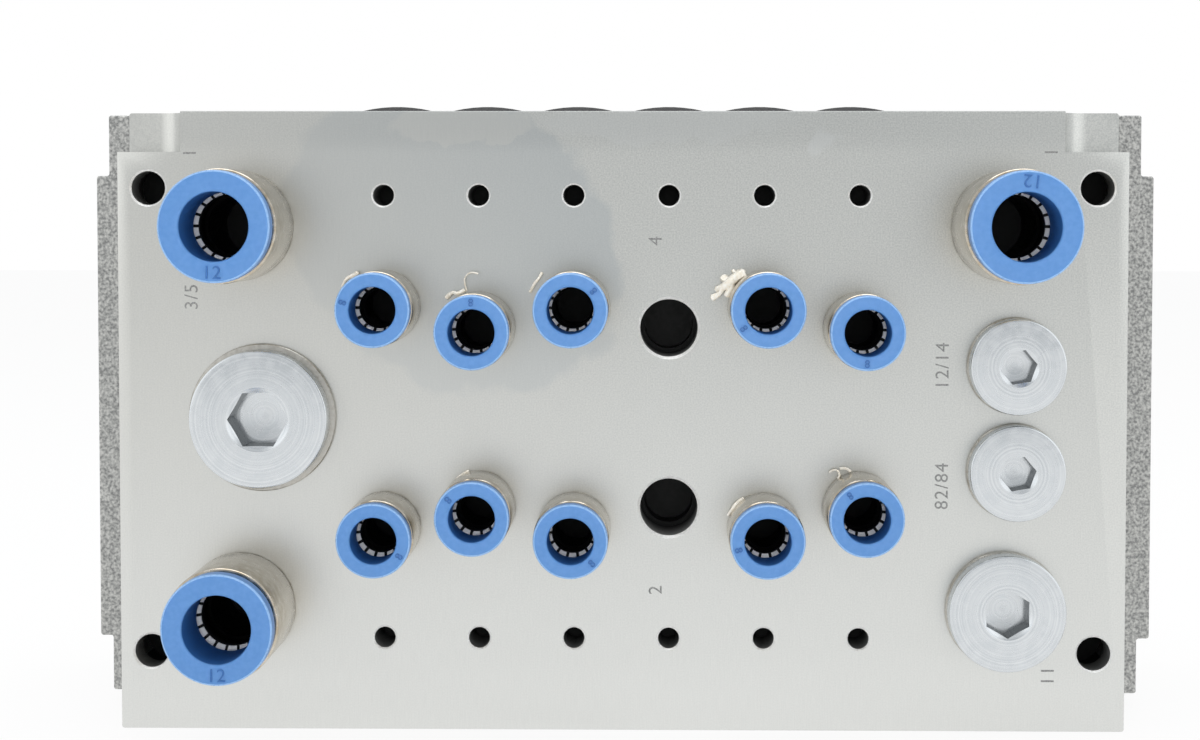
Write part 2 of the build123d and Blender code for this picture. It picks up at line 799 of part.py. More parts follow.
def end_plate(side):
    """sand-cast end plate with its steps, cored pockets and holes for tie rods and screws"""
    inner = side * block_half_length
    shoulder_height = slice_body_height / 2
    with BuildPart() as casting:
        with BuildSketch(Plane.XZ.offset(-island_front)) as outline:
            with BuildLine():
                Polyline(
                    (inner, end_plate_top),
                    (side * end_plate_shoulder, end_plate_top),
                    (side * end_plate_shoulder, shoulder_height),
                    (side * end_plate_outer, shoulder_height),
                    (side * end_plate_outer, -shoulder_height),
                    (side * end_plate_shoulder, -shoulder_height),
                    (side * end_plate_shoulder, end_plate_bottom),
                    (inner, end_plate_bottom),
                    close=True,
                )
            make_face()
            outer_corners = outline.vertices().filter_by(
                lambda corner: abs(corner.X) > block_half_length + match_tolerance
            )
            fillet(outer_corners, end_plate_corner)
        extrude(amount=-end_plate_depth)
        # The mould leaves the outer edges round, and the edge against the slices is machined sharp
        rims = casting.faces().group_by(Axis.Y)[0].edges() + casting.faces().group_by(Axis.Y)[-1].edges()
        outer_rims = rims.filter_by(lambda rim: abs(rim.center().X) > block_half_length + match_tolerance)
        fillet(outer_rims, cast_edge_radius)
        # Cored pockets that save metal, open at the back
        with BuildSketch(Plane.XZ.offset(-end_plate_back)):
            pocket_step = cored_pocket_height + cored_pocket_rib
            with Locations(*[(side * cored_pocket_x, level * pocket_step / 2) for level in (-1, 1)]):
                RectangleRounded(cored_pocket_width, cored_pocket_height, cored_pocket_corner)
        extrude(amount=cored_pocket_depth, taper=cast_draft, mode=Mode.SUBTRACT)
        # Holes for the tie rods
        with BuildSketch(Plane.YZ.offset(inner)):
            with Locations(*tie_rod_places):
                Circle(tie_rod_radius + tie_rod_clearance)
        rod_hole_length = end_plate_outer - block_half_length if side < 0 else tie_rod_engagement
        extrude(amount=side * rod_hole_length, mode=Mode.SUBTRACT)
        if side < 0:
            with BuildSketch(Plane.YZ.offset(-end_plate_outer)):
                with Locations(*tie_rod_places):
                    Circle(tie_rod_head_radius + socket_head_clearance)
            extrude(amount=tie_rod_head_sink, mode=Mode.SUBTRACT)
        # Sunk holes for the screws into the plate
        own_places = [(x, z) for x, z in island_screw_places if x * side > 0]
        with BuildSketch(Plane.XZ.offset(-island_front)):
            with Locations(*own_places):
                Circle(island_screw_radius + island_screw_clearance)
        extrude(amount=-end_plate_depth, mode=Mode.SUBTRACT)
        with BuildSketch(Plane.XZ.offset(-end_plate_back)):
            with Locations(*own_places):
                Circle(tie_rod_head_radius + socket_head_clearance)
        extrude(amount=tie_rod_head_sink, mode=Mode.SUBTRACT)
        # Passages from the side ports, and the galleries that cross them
        with BuildSketch(Plane.XZ.offset(-island_front)):
            with Locations((side * side_port_x, side_port_height), (side * side_port_x, -side_port_height)):
                Circle(medium_passage_radius)
            if side < 0:
                with Locations(exhaust_plug_place):
                    Circle(large_passage_radius)
        extrude(amount=-passage_end_depth, mode=Mode.SUBTRACT)
        with BuildSketch(Plane.YZ.offset(inner)):
            with Locations(main_galleries[0], main_galleries[-1]):
                Circle(gallery_radius)
        extrude(amount=side * (side_port_x - block_half_length), mode=Mode.SUBTRACT)
        if side < 0:
            with BuildSketch(Plane.YZ.offset(inner)):
                with Locations(main_galleries[1]):
                    Circle(gallery_radius)
            extrude(amount=block_half_length - exhaust_port_x, mode=Mode.SUBTRACT)
        else:
            with BuildSketch(Plane.XZ.offset(-island_front)):
                with Locations(*pilot_plug_places):
                    Circle(pilot_passage_radius)
            extrude(amount=-pilot_gallery_depth, mode=Mode.SUBTRACT)
            with BuildSketch(Plane.YZ.offset(inner)):
                with Locations(*pilot_galleries):
                    Circle(pilot_gallery_radius)
            extrude(amount=pilot_port_x - block_half_length, mode=Mode.SUBTRACT)
    return casting


left_end_plate = end_plate(-1)
left_end_plate.part.label = "left_end_plate"
export_step(left_end_plate.part, "parts/left_end_plate.step")

right_end_plate = end_plate(1)
right_end_plate.part.label = "right_end_plate"
export_step(right_end_plate.part, "parts/right_end_plate.step")

# Tie rods: long socket screws, put in from the left and threaded into the right end plate
rod_head_end = -end_plate_outer + tie_rod_head_sink - tie_rod_head_length
with BuildPart() as tie_rods:
    with BuildSketch(Plane.YZ.offset(rod_head_end)):
        with Locations(*tie_rod_places):
            Circle(tie_rod_head_radius)
    extrude(amount=tie_rod_head_length)
    chamfer(tie_rods.faces().group_by(Axis.X)[0].edges(), socket_head_edge)
    with BuildSketch(Plane.YZ.offset(rod_head_end)):
        with Locations(*tie_rod_places):
            Circle(tie_rod_radius)
    extrude(amount=block_half_length + tie_rod_engagement - rod_head_end)
    with BuildSketch(Plane.YZ.offset(rod_head_end)):
        with Locations(*tie_rod_places):
            RegularPolygon(radius=tie_rod_key / 2, side_count=6, major_radius=False)
    extrude(amount=socket_depth, mode=Mode.SUBTRACT)
tie_rods.part.label = "tie_rods"
export_step(tie_rods.part, "parts/tie_rods.step")

# Screws through the end plates into the back of the connector plate
screw_head_seat = end_plate_back - tie_rod_head_sink
with BuildPart() as island_screws:
    with BuildSketch(Plane.XZ.offset(-screw_head_seat)):
        with Locations(*island_screw_places):
            Circle(tie_rod_head_radius)
    extrude(amount=-tie_rod_head_length)
    chamfer(island_screws.faces().group_by(Axis.Y)[-1].edges(), socket_head_edge)
    with BuildSketch(Plane.XZ.offset(-screw_head_seat)):
        with Locations(*island_screw_places):
            Circle(island_screw_radius)
    extrude(amount=screw_head_seat - plate_depth + island_screw_engagement)
    with BuildSketch(Plane.XZ.offset(-screw_head_seat - tie_rod_head_length)):
        with Locations(*island_screw_places):
            RegularPolygon(radius=tie_rod_key / 2, side_count=6, major_radius=False)
    extrude(amount=socket_depth, mode=Mode.SUBTRACT)
island_screws.part.label = "island_screws"
export_step(island_screws.part, "parts/island_screws.step")

# Pilot caps: crowned plastic covers on both ends of each slice, hollow inside for the solenoid
cap_inner = slice_body_height / 2
cap_front = island_front + cap_inset
cap_back = island_back - cap_inset
crown_rise = cap_crown_radius - (cap_crown_radius**2 - (slice_width / 2) ** 2) ** 0.5
cap_shoulder = slice_half_height - crown_rise
with BuildPart() as pilot_caps:
    for x in slice_centres:
        for side in (1, -1):
            with BuildSketch(Plane.XZ.offset(-cap_front)):
                with BuildLine():
                    Polyline(
                        (x - slice_width / 2, side * cap_shoulder),
                        (x - slice_width / 2, side * cap_inner),
                        (x + slice_width / 2, side * cap_inner),
                        (x + slice_width / 2, side * cap_shoulder),
                    )
                    ThreePointArc(
                        (x + slice_width / 2, side * cap_shoulder),
                        (x, side * slice_half_height),
                        (x - slice_width / 2, side * cap_shoulder),
                    )
                make_face()
            extrude(amount=cap_front - cap_back)
    chamfer(pilot_caps.faces().group_by(Axis.Y)[-1].edges(), cap_edge)
    chamfer(pilot_caps.faces().group_by(Axis.Y)[0].edges(), cap_edge)
    for side in (1, -1):
        with BuildSketch(Plane.XY.offset(side * cap_inner)):
            with Locations(*[(x, (cap_front + cap_back) / 2) for x in slice_centres]):
                Rectangle(slice_width - 2 * cap_wall, cap_back - cap_front - 2 * cap_wall)
        extrude(amount=side * (cap_shoulder - cap_wall - cap_inner), mode=Mode.SUBTRACT)
    solenoid_height = cap_inner + solenoid_gap + solenoid_radius
    pilot_places = [(x, side * solenoid_height) for x in slice_centres for side in (1, -1)]
    with BuildSketch(Plane.XZ.offset(-cap_back)):
        with Locations(*pilot_places):
            Circle(button_radius + button_clearance)
    extrude(amount=cap_wall, mode=Mode.SUBTRACT)
pilot_caps.part.label = "pilot_caps"
export_step(pilot_caps.part, "parts/pilot_caps.step")

# Pilot solenoids inside the caps
solenoid_front = cap_front + cap_wall + solenoid_front_gap
solenoid_back = solenoid_front + solenoid_length
with BuildPart() as pilot_solenoids:
    with BuildSketch(Plane.XZ.offset(-solenoid_front)):
        with Locations(*pilot_places):
            Circle(solenoid_radius)
    extrude(amount=-solenoid_length)
pilot_solenoids.part.label = "pilot_solenoids"
export_step(pilot_solenoids.part, "parts/pilot_solenoids.step")

# Manual override buttons: slotted stems that push on the solenoids, held in by a collar
button_inner = solenoid_back + button_travel + button_stop_gap
button_outer = cap_back + button_proud
collar_back = cap_back - cap_wall - button_collar_gap
for valve, x in enumerate(slice_centres, start=1):
    for coil, side in ((14, 1), (12, -1)):
        with BuildPart() as button:
            with BuildSketch(Plane.XZ.offset(-button_inner)):
                with Locations((x, side * solenoid_height)):
                    Circle(button_radius)
            extrude(amount=button_inner - button_outer)
            chamfer(button.faces().sort_by(Axis.Y)[-1].edges(), button_edge)
            with BuildSketch(Plane.XZ.offset(-collar_back)):
                with Locations((x, side * solenoid_height)):
                    Circle(button_collar_radius)
            extrude(amount=button_collar_thickness)
            with BuildSketch(Plane.XZ.offset(-button_outer)):
                with Locations((x, side * solenoid_height)):
                    Rectangle(2 * button_collar_radius, button_slot_width)
            extrude(amount=button_slot_depth, mode=Mode.SUBTRACT)
        button.part.label = f"override_button_{coil}_valve_{valve}"
        export_step(button.part, f"parts/override_button_{coil}_valve_{valve}.step")

# Electrical housing: a moulded box over the middle of the slices, open towards them
housing_back = island_back + housing_depth
lens_height = housing_height / 2 - lens_margin
lens_places = [(x, side * lens_height) for x in slice_centres for side in (1, -1)]
jack_places = [(-jack_screw_spacing / 2, 0), (jack_screw_spacing / 2, 0)]


def connector_outline(growth):
    """the D shape of the connector, larger or smaller all round by the growth"""
    with BuildSketch() as outline:
        Trapezoid(connector_shell_length, connector_shell_height, connector_shell_angle)
        fillet(outline.vertices(), connector_shell_corner)
        if growth:
            offset(amount=growth)
    return outline.sketch


with BuildPart() as electrical_housing:
    with BuildSketch(Plane.XZ.offset(-island_back)):
        RectangleRounded(housing_length, housing_height, housing_corner)
    extrude(amount=-housing_depth)
    fillet(electrical_housing.faces().sort_by(Axis.Y)[-1].edges(), housing_back_edge)
    with BuildSketch(Plane.XZ.offset(-island_back)):
        Rectangle(housing_length - 2 * housing_wall, housing_height - 2 * housing_wall)
        with Locations(*housing_screw_places):
            Circle(housing_boss_radius, mode=Mode.SUBTRACT)
    extrude(amount=housing_wall - housing_depth, mode=Mode.SUBTRACT)
    with BuildSketch(Plane.XZ.offset(-housing_back)):
        with Locations(*housing_screw_places):
            Circle(housing_screw_head_radius + housing_screw_clearance)
    extrude(amount=housing_screw_sink, mode=Mode.SUBTRACT)
    with BuildSketch(Plane.XZ.offset(-housing_back)):
        with Locations(*housing_screw_places):
            Circle(housing_screw_radius + housing_screw_clearance)
    extrude(amount=housing_depth, mode=Mode.SUBTRACT)
    with BuildSketch(Plane.XZ.offset(-housing_back)):
        with Locations(*lens_places):
            Circle(lens_radius + lens_clearance)
        with Locations(*jack_places):
            Circle(jack_screw_shank + jack_screw_clearance)
        add(connector_outline(connector_cutout_gap))
    extrude(amount=housing_wall, mode=Mode.SUBTRACT)
electrical_housing.part.label = "electrical_housing"
export_step(electrical_housing.part, "parts/electrical_housing.step")

# Circuit board on its two pin headers, which plug into the slices
board_front = island_back + board_gap
board_back = board_front + board_thickness
board_length = housing_length - 2 * (housing_wall + board_end_gap)
with BuildPart() as circuit_board:
    with BuildSketch(Plane.XZ.offset(-board_front)):
        Rectangle(board_length, housing_height - 2 * (housing_wall + board_side_gap))
    extrude(amount=-board_thickness)
    with BuildSketch(Plane.XZ.offset(-island_back)):
        with Locations((0, header_place), (0, -header_place)):
            Rectangle(board_length - 2 * header_end_margin, header_width)
    extrude(amount=-board_gap)
circuit_board.part.label = "circuit_board"
export_step(circuit_board.part, "parts/circuit_board.step")

# Multi-pin connector: a pressed shell, a moulded insert and two rows of pins
flange_back = housing_back + connector_flange_thickness
with BuildPart() as connector_shell:
    with BuildSketch(Plane.XZ.offset(-housing_back)):
        RectangleRounded(connector_flange_length, connector_flange_height, connector_flange_corner)
        with Locations(*jack_places):
            Circle(jack_screw_shank + jack_screw_clearance, mode=Mode.SUBTRACT)
    extrude(amount=-connector_flange_thickness)
    with BuildSketch(Plane.XZ.offset(-flange_back)):
        add(connector_outline(0))
    extrude(amount=-connector_shell_rise)
    with BuildSketch(Plane.XZ.offset(-housing_back)):
        add(connector_outline(-connector_shell_wall))
    extrude(amount=-connector_flange_thickness - connector_shell_rise, mode=Mode.SUBTRACT)
connector_shell.part.label = "connector_shell"
export_step(connector_shell.part, "parts/connector_shell.step")

insert_back = flange_back + connector_insert_rise
with BuildPart() as connector_insert:
    with BuildSketch(Plane.XZ.offset(-board_back)):
        add(connector_outline(-connector_shell_wall - connector_insert_clearance))
    extrude(amount=board_back - insert_back)
connector_insert.part.label = "connector_insert"
export_step(connector_insert.part, "parts/connector_insert.step")

with BuildPart() as connector_pins:
    with BuildSketch(Plane.XZ.offset(-insert_back)):
        for pin_count, row in ((12, 1), (13, -1)):
            with Locations((0, row * pin_row_pitch / 2)):
                with GridLocations(pin_pitch, pin_row_pitch, pin_count, 1):
                    RegularPolygon(radius=pin_radius, side_count=pin_sides)
    extrude(amount=-pin_rise)
connector_pins.part.label = "connector_pins"
export_step(connector_pins.part, "parts/connector_pins.step")

# Indicator lenses: light guides from the board out through the housing
lens_front = board_back + lens_board_gap
with BuildPart() as indicator_lenses:
    with BuildSketch(Plane.XZ.offset(-lens_front)):
        with Locations(*lens_places):
            Circle(lens_radius)
    extrude(amount=lens_front - housing_back - lens_proud)
    fillet(indicator_lenses.faces().group_by(Axis.Y)[-1].edges(), lens_edge)
indicator_lenses.part.label = "indicator_lenses"
export_step(indicator_lenses.part, "parts/indicator_lenses.step")

# Housing screws with slotted heads, and the jack screws beside the connector
head_seat = housing_back - housing_screw_sink
with BuildPart() as housing_screws:
    with BuildSketch(Plane.XZ.offset(-head_seat)):
        with Locations(*housing_screw_places):
            Circle(housing_screw_head_radius)
    extrude(amount=-housing_screw_head_thickness)
    with BuildSketch(Plane.XZ.offset(-head_seat)):
        with Locations(*housing_screw_places):
            Circle(housing_screw_radius)
    extrude(amount=head_seat - island_back + housing_screw_engagement)
    with BuildSketch(Plane.XZ.offset(-head_seat - housing_screw_head_thickness)):
        with Locations(*housing_screw_places):
            Rectangle(2 * housing_screw_head_radius, housing_screw_slot)
    extrude(amount=housing_screw_slot, mode=Mode.SUBTRACT)
    with BuildSketch(Plane.XZ.offset(-flange_back)):
        with Locations(*jack_places):
            RegularPolygon(radius=jack_screw_key / 2, side_count=6, major_radius=False)
    extrude(amount=-jack_screw_rise)
    with BuildSketch(Plane.XZ.offset(-flange_back)):
        with Locations(*jack_places):
            Circle(jack_screw_shank)
    extrude(amount=jack_screw_shank_length)
    with BuildSketch(Plane.XZ.offset(-flange_back - jack_screw_rise)):
        with Locations(*jack_places):
            Circle(jack_screw_bore)
    extrude(amount=jack_screw_bore_depth, mode=Mode.SUBTRACT)
housing_screws.part.label = "housing_screws"
export_step(housing_screws.part, "parts/housing_screws.step")
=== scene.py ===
import json
import math

import bmesh
import bpy
from mathutils import Euler, Matrix, Vector


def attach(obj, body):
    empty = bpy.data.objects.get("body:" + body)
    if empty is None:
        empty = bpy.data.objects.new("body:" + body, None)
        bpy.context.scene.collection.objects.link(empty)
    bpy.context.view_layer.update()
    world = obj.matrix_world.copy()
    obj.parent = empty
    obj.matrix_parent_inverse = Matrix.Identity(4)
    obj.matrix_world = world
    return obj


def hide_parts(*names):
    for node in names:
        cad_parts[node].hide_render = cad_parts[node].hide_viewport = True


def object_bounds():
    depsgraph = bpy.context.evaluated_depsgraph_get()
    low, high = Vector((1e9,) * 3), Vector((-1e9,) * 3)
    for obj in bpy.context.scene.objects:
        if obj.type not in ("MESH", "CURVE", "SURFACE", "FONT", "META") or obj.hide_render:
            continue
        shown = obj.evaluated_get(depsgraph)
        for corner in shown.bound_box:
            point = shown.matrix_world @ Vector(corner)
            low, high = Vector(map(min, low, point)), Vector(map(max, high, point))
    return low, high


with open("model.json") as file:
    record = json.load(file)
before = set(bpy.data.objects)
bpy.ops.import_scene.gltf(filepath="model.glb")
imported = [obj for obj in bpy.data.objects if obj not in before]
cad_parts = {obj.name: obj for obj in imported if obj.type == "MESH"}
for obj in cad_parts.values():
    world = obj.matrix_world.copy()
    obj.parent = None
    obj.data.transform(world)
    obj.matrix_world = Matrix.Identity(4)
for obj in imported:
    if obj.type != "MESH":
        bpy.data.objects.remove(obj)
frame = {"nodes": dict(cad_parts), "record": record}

cad_low, cad_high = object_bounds()
mm = 0.001

# Camera: a little above the middle of the port face and turned a little down, as the photograph was
# taken. The frame is a crop of a larger picture, so its middle lies beside the lens axis.
camera_data = bpy.data.cameras.new("camera")
camera_data.sensor_width = 36
camera_data.lens = 63.54
camera_data.shift_x = -0.0236
camera_data.shift_y = -0.0635
camera_data.clip_start = 0.01
camera_data.clip_end = 20
camera = bpy.data.objects.new("camera", camera_data)
bpy.context.scene.collection.objects.link(camera)
stand_up = Matrix(((1, 0, 0), (0, 0, -1), (0, 1, 0)))
tilt = Euler([math.radians(angle) for angle in (-2.292, 0.844, 0.037)]).to_matrix()
camera.matrix_world = Matrix.Translation(Vector((7.19, -399.75, 39.49)) * mm) @ (stand_up @ tilt).to_4x4()
bpy.context.scene.camera = camera
bpy.context.scene.view_settings.view_transform = "Standard"


# Studio: a pale table in a white room that is dimmer behind the photographer, with a broad soft lamp
# on each side and one above. The front lamp only fills the bores and isn't mirrored in the metal.
def linear(code):
    """the linear colour of an sRGB hex code"""
    parts = [int(code[place : place + 2], 16) / 255 for place in (1, 3, 5)]
    return [part / 12.92 if part <= 0.04045 else ((part + 0.055) / 1.055) ** 2.4 for part in parts] + [1]


def add_node(owner, kind, inputs=None, **settings):
    """adds a node with its settings; an input is a value, or an output of another node to link"""
    node = owner.node_tree.nodes.new(kind)
    for name, value in settings.items():
        setattr(node, name, value)
    for name, value in (inputs or {}).items():
        if isinstance(value, bpy.types.NodeSocket):
            owner.node_tree.links.new(value, node.inputs[name])
        else:
            node.inputs[name].default_value = value
    return node


room = bpy.data.worlds.new("room")
room.use_nodes = True
room.node_tree.nodes.clear()
rays = add_node(room, "ShaderNodeLightPath")
room_place = add_node(room, "ShaderNodeTexCoord")
direction = add_node(room, "ShaderNodeSeparateXYZ", {0: room_place.outputs["Generated"]})
# How bright the room is behind the photographer, what metal mirrors beyond that, and how bright in front
dim_side = 0.40
mirror_gain = 0.30
bright_side = 0.95
dimmest = add_node(
    room,
    "ShaderNodeMath",
    {0: rays.outputs["Is Glossy Ray"], 1: mirror_gain, 2: dim_side},
    operation="MULTIPLY_ADD",
)
brightness = add_node(
    room,
    "ShaderNodeMapRange",
    {
        "Value": direction.outputs["Y"],
        "From Min": -1.0,
        "From Max": 0.8,
        "To Min": dimmest.outputs[0],
        "To Max": bright_side,
    },
)
ambient = add_node(
    room, "ShaderNodeBackground", {"Color": linear("#F6F8FA"), "Strength": brightness.outputs[0]}
)
seen = add_node(room, "ShaderNodeBackground", {"Color": linear("#FFFFFF"), "Strength": 1.0})
sky = add_node(
    room,
    "ShaderNodeMixShader",
    {"Fac": rays.outputs["Is Camera Ray"], 1: ambient.outputs[0], 2: seen.outputs[0]},
)
add_node(room, "ShaderNodeOutputWorld", {"Surface": sky.outputs[0]})
bpy.context.scene.world = room

table = bpy.data.materials.new("white_table")
table.use_nodes = True
paper = table.node_tree.nodes["Principled BSDF"]
paper.inputs["Base Color"].default_value = linear("#FBFBFB")
paper.inputs["Roughness"].default_value = 0.6
rays = add_node(table, "ShaderNodeLightPath")
mirrored = add_node(
    table,
    "ShaderNodeMath",
    {0: rays.outputs["Is Glossy Ray"], 1: rays.outputs["Is Transmission Ray"]},
    operation="MAXIMUM",
)
looked_at = add_node(
    table, "ShaderNodeMath", {0: rays.outputs["Is Camera Ray"], 1: mirrored.outputs[0]}, operation="MAXIMUM"
)
# The table shines for what is seen or mirrored, and the last tenth keeps the object's shadow
shining_share = 0.9
share = add_node(
    table, "ShaderNodeMath", {0: looked_at.outputs[0], 1: shining_share}, operation="MULTIPLY"
)
glow = add_node(table, "ShaderNodeEmission", {"Color": linear("#FFFFFF"), "Strength": 1.0})
table_mix = add_node(
    table, "ShaderNodeMixShader", {"Fac": share.outputs[0], 1: paper.outputs[0], 2: glow.outputs[0]}
)
table.node_tree.links.new(table_mix.outputs[0], table.node_tree.nodes["Material Output"].inputs["Surface"])
shape = bmesh.new()
bmesh.ops.create_grid(shape, x_segments=1, y_segments=1, size=3.0)
bmesh.ops.translate(shape, vec=(0, 0, cad_low.z), verts=shape.verts)
floor_mesh = bpy.data.meshes.new("table_top")
shape.to_mesh(floor_mesh)
shape.free()
floor = bpy.data.objects.new("table_top", floor_mesh)
floor_mesh.materials.append(table)
bpy.context.scene.collection.objects.link(floor)

for name, place, size, power, in_mirrors in (
    ("left_lamp", (-0.70, -0.60, 0.30), 0.7, 0.9, True),
    ("right_lamp", (0.70, -0.60, 0.30), 0.7, 0.9, True),
    ("top_lamp", (0.0, 0.05, 0.90), 0.8, 4.0, True),
    ("front_lamp", (0.02, -0.80, 0.10), 0.3, 2.1, False),
):
    lamp_data = bpy.data.lights.new(name, "AREA")
    lamp_data.size = size
    lamp_data.energy = power
    lamp = bpy.data.objects.new(name, lamp_data)
    lamp.location = place
    lamp.rotation_euler = (-Vector(place)).to_track_quat("-Z", "Y").to_euler()
    lamp.visible_glossy = in_mirrors
    bpy.context.scene.collection.objects.link(lamp)

# Connector plate: one block of aluminium, milled flat and drilled for every port, with threads cut in
# the ports, a countersunk rim on each hole and a milled pocket in both top corners.
plate_size = Vector((191.0, 20.0, 117.7))
plate_centre = Vector((0, 10.0, -0.9))
pitch = 18.0
slice_places = [(index - 2.5) * pitch for index in range(6)]
output_places = {}
open_places = []
for valve, x in enumerate(slice_places, start=1):
    height = 21.06 if valve % 2 else 17.02
    for port, z in ((4, height), (2, -height)):
        if valve == 4:
            open_places.append((x, z))
        else:
            output_places[f"port_{port}_valve_{valve}"] = (x, z)
supply_places = {
    "supply_1_left": (-72.5, 36.3),
    "supply_1_right": (72.5, 36.3),
    "supply_11_left": (-72.5, -36.3),
}
panel_places = [(x, z) for x in (-89.6, 89.6) for z in (43.4, -44.8)]
small_hole_places = [(x, z) for x in slice_places for z in (42.05, -42.05)]
exhaust_plug_places = [(-68.0, 0)]
supply_plug_places = [(72.5, -36.3)]
pilot_plug_places = [(74.3, 10.0), (74.3, -10.0)]
plug_places = exhaust_plug_places + supply_plug_places + pilot_plug_places
output_bore = 5.85
supply_bore = 7.5
exhaust_bore = 9.35
port_depth = 13.0
passage_end = 19.0
thread_pitch = 1.34
pocket_length = 12.1
pocket_depth = 10.0
pocket_floor = 50.2
pocket_radius = 6.0


def turned(profile, steps=72):
    """a mesh turned about the Y axis from (radius, height) points in mm, with height towards the camera"""
    shape = bmesh.new()
    points = [shape.verts.new((radius * mm, -height * mm, 0)) for radius, height in profile]
    lines = [shape.edges.new(pair) for pair in zip(points, points[1:])]
    bmesh.ops.spin(
        shape,
        geom=points + lines,
        cent=(0, 0, 0),
        axis=(0, 1, 0),
        dvec=(0, 0, 0),
        angle=2 * math.pi,
        steps=steps,
        use_merge=True,
        use_normal_flip=False,
        use_duplicate=False,
    )
    bmesh.ops.remove_doubles(shape, verts=shape.verts, dist=1e-6)
    bmesh.ops.recalc_face_normals(shape, faces=shape.faces)
    return shape


def softened(points, radius, steps=3):
    """the points of an open line with each inner corner eased over a short curve"""
    eased = [points[0]]
    for before, corner, after in zip(points, points[1:], points[2:]):
        start, middle, end = Vector(before), Vector(corner), Vector(after)
        reach = min(radius, (start - middle).length * 0.45, (end - middle).length * 0.45)
        first = middle + (start - middle).normalized() * reach
        last = middle + (end - middle).normalized() * reach
        for step in range(steps + 1):
            part = step / steps
            eased.append(tuple(first * (1 - part) ** 2 + middle * 2 * part * (1 - part) + last * part**2))
    return eased + [points[-1]]


def copy_into(target, pattern, places, turn=None):
    """copies of a pattern at the places (x, z) on the port face, or at (x, y, z)"""
    for place in places:
        x, y, z = place if len(place) == 3 else (place[0], 0, place[1])
        mesh = bpy.data.meshes.new("copy")
        pattern.to_mesh(mesh)
        mesh.transform(Matrix.Translation(Vector((x, y, z)) * mm) @ (turn or Matrix.Identity(4)))
        target.from_mesh(mesh)
        bpy.data.meshes.remove(mesh)


def block(size, centre, edge=0.0):
    """a box in mm with all its edges bevelled"""
    shape = bmesh.new()
    bmesh.ops.create_cube(shape, size=1)
    bmesh.ops.scale(shape, vec=Vector(size) * mm, verts=shape.verts)
    bmesh.ops.translate(shape, vec=Vector(centre) * mm, verts=shape.verts)
    if edge:
        bmesh.ops.bevel(
            shape,
            geom=shape.edges,
            offset=edge * mm,
            segments=2,
            profile=0.5,
            affect="EDGES",
            material=-1,
        )
    return shape


def cut(shape, cutters):
    """the shape with the cutters taken out of it"""
    blank_mesh = bpy.data.meshes.new("blank")
    shape.to_mesh(blank_mesh)
    blank = bpy.data.objects.new("blank", blank_mesh)
    tool_mesh = bpy.data.meshes.new("tool")
    cutters.to_mesh(tool_mesh)
    tool = bpy.data.objects.new("tool", tool_mesh)
    for thing in (blank, tool):
        bpy.context.scene.collection.objects.link(thing)
    boolean = blank.modifiers.new("cut", "BOOLEAN")
    boolean.operation = "DIFFERENCE"
    boolean.solver = "EXACT"
    boolean.object = tool
    result = bpy.data.meshes.new_from_object(blank.evaluated_get(bpy.context.evaluated_depsgraph_get()))
    done = bmesh.new()
    done.from_mesh(result)
    for thing in (blank, tool):
        bpy.data.objects.remove(thing)
    for mesh in (blank_mesh, tool_mesh, result):
        bpy.data.meshes.remove(mesh)
    return done


def piece(name, shape, finishes, body="island", nodes=(), crease=28):
    """makes the finished object, which rides on its body and stands for its CAD nodes"""
    bmesh.ops.remove_doubles(shape, verts=shape.verts, dist=1e-6)
    bmesh.ops.dissolve_degenerate(shape, dist=1e-7, edges=shape.edges)
    for face in shape.faces:
        face.smooth = True
    for edge in shape.edges:
        edge.smooth = len(edge.link_faces) == 2 and edge.calc_face_angle(0) < math.radians(crease)
    mesh = bpy.data.meshes.new(name)
    shape.to_mesh(mesh)
    shape.free()
    for finish in finishes:
        mesh.materials.append(finish)
    made = bpy.data.objects.new(name, mesh)
    bpy.context.scene.collection.objects.link(made)
    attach(made, body)
    if nodes:
        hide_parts(*nodes)


def material(name, dark, light, metallic, roughness, grain, relief):
    """a material whose colour and roughness vary between two values over a grain in mm, with a relief"""
    made = bpy.data.materials.new(name)
    made.use_nodes = True
    shader = made.node_tree.nodes["Principled BSDF"]
    shader.inputs["Metallic"].default_value = metallic
    place = add_node(made, "ShaderNodeTexCoord", name="place").outputs["Object"]
    grains = add_node(
        made, "ShaderNodeTexNoise", {"Vector": place, "Scale": 1 / (grain * mm), "Detail": 4.0}
    )
    spread = add_node(
        made, "ShaderNodeMapRange", {"Value": grains.outputs[0], "From Min": 0.35, "From Max": 0.65}
    )
    tone = add_node(
        made,
        "ShaderNodeMix",
        {"Factor": spread.outputs[0], 6: linear(dark), 7: linear(light)},
        name="tone",
        data_type="RGBA",
    )
    gloss = add_node(
        made,
        "ShaderNodeMapRange",
        {"Value": spread.outputs[0], "To Min": roughness[0], "To Max": roughness[1]},
    )
    bump = add_node(
        made, "ShaderNodeBump", {"Height": spread.outputs[0], "Strength": 1.0, "Distance": relief * mm}
    )
    made.node_tree.links.new(tone.outputs[2], shader.inputs["Base Color"])
    made.node_tree.links.new(gloss.outputs[0], shader.inputs["Roughness"])
    made.node_tree.links.new(bump.outputs[0], shader.inputs["Normal"])
    return made


def base_of(made):
    """what a material is built up from: its shader, its place in the object and its first tone"""
    nodes = made.node_tree.nodes
    return nodes["Principled BSDF"], nodes["place"].outputs["Object"], nodes["tone"].outputs[2]


# Milled aluminium, AlMgSi alloy: light grey with a fine straight grain from the cutter, paler towards the
# lower edge as a painted reflection of the white table, with a bluer ragged blotch where coolant dried on
# it and small splashes along the top edge.
milled_aluminium = material("milled_aluminium", "#C8CAC7", "#DCDDD9", 1.0, (0.28, 0.36), 0.3, 0.002)
shader, place, tone = base_of(milled_aluminium)
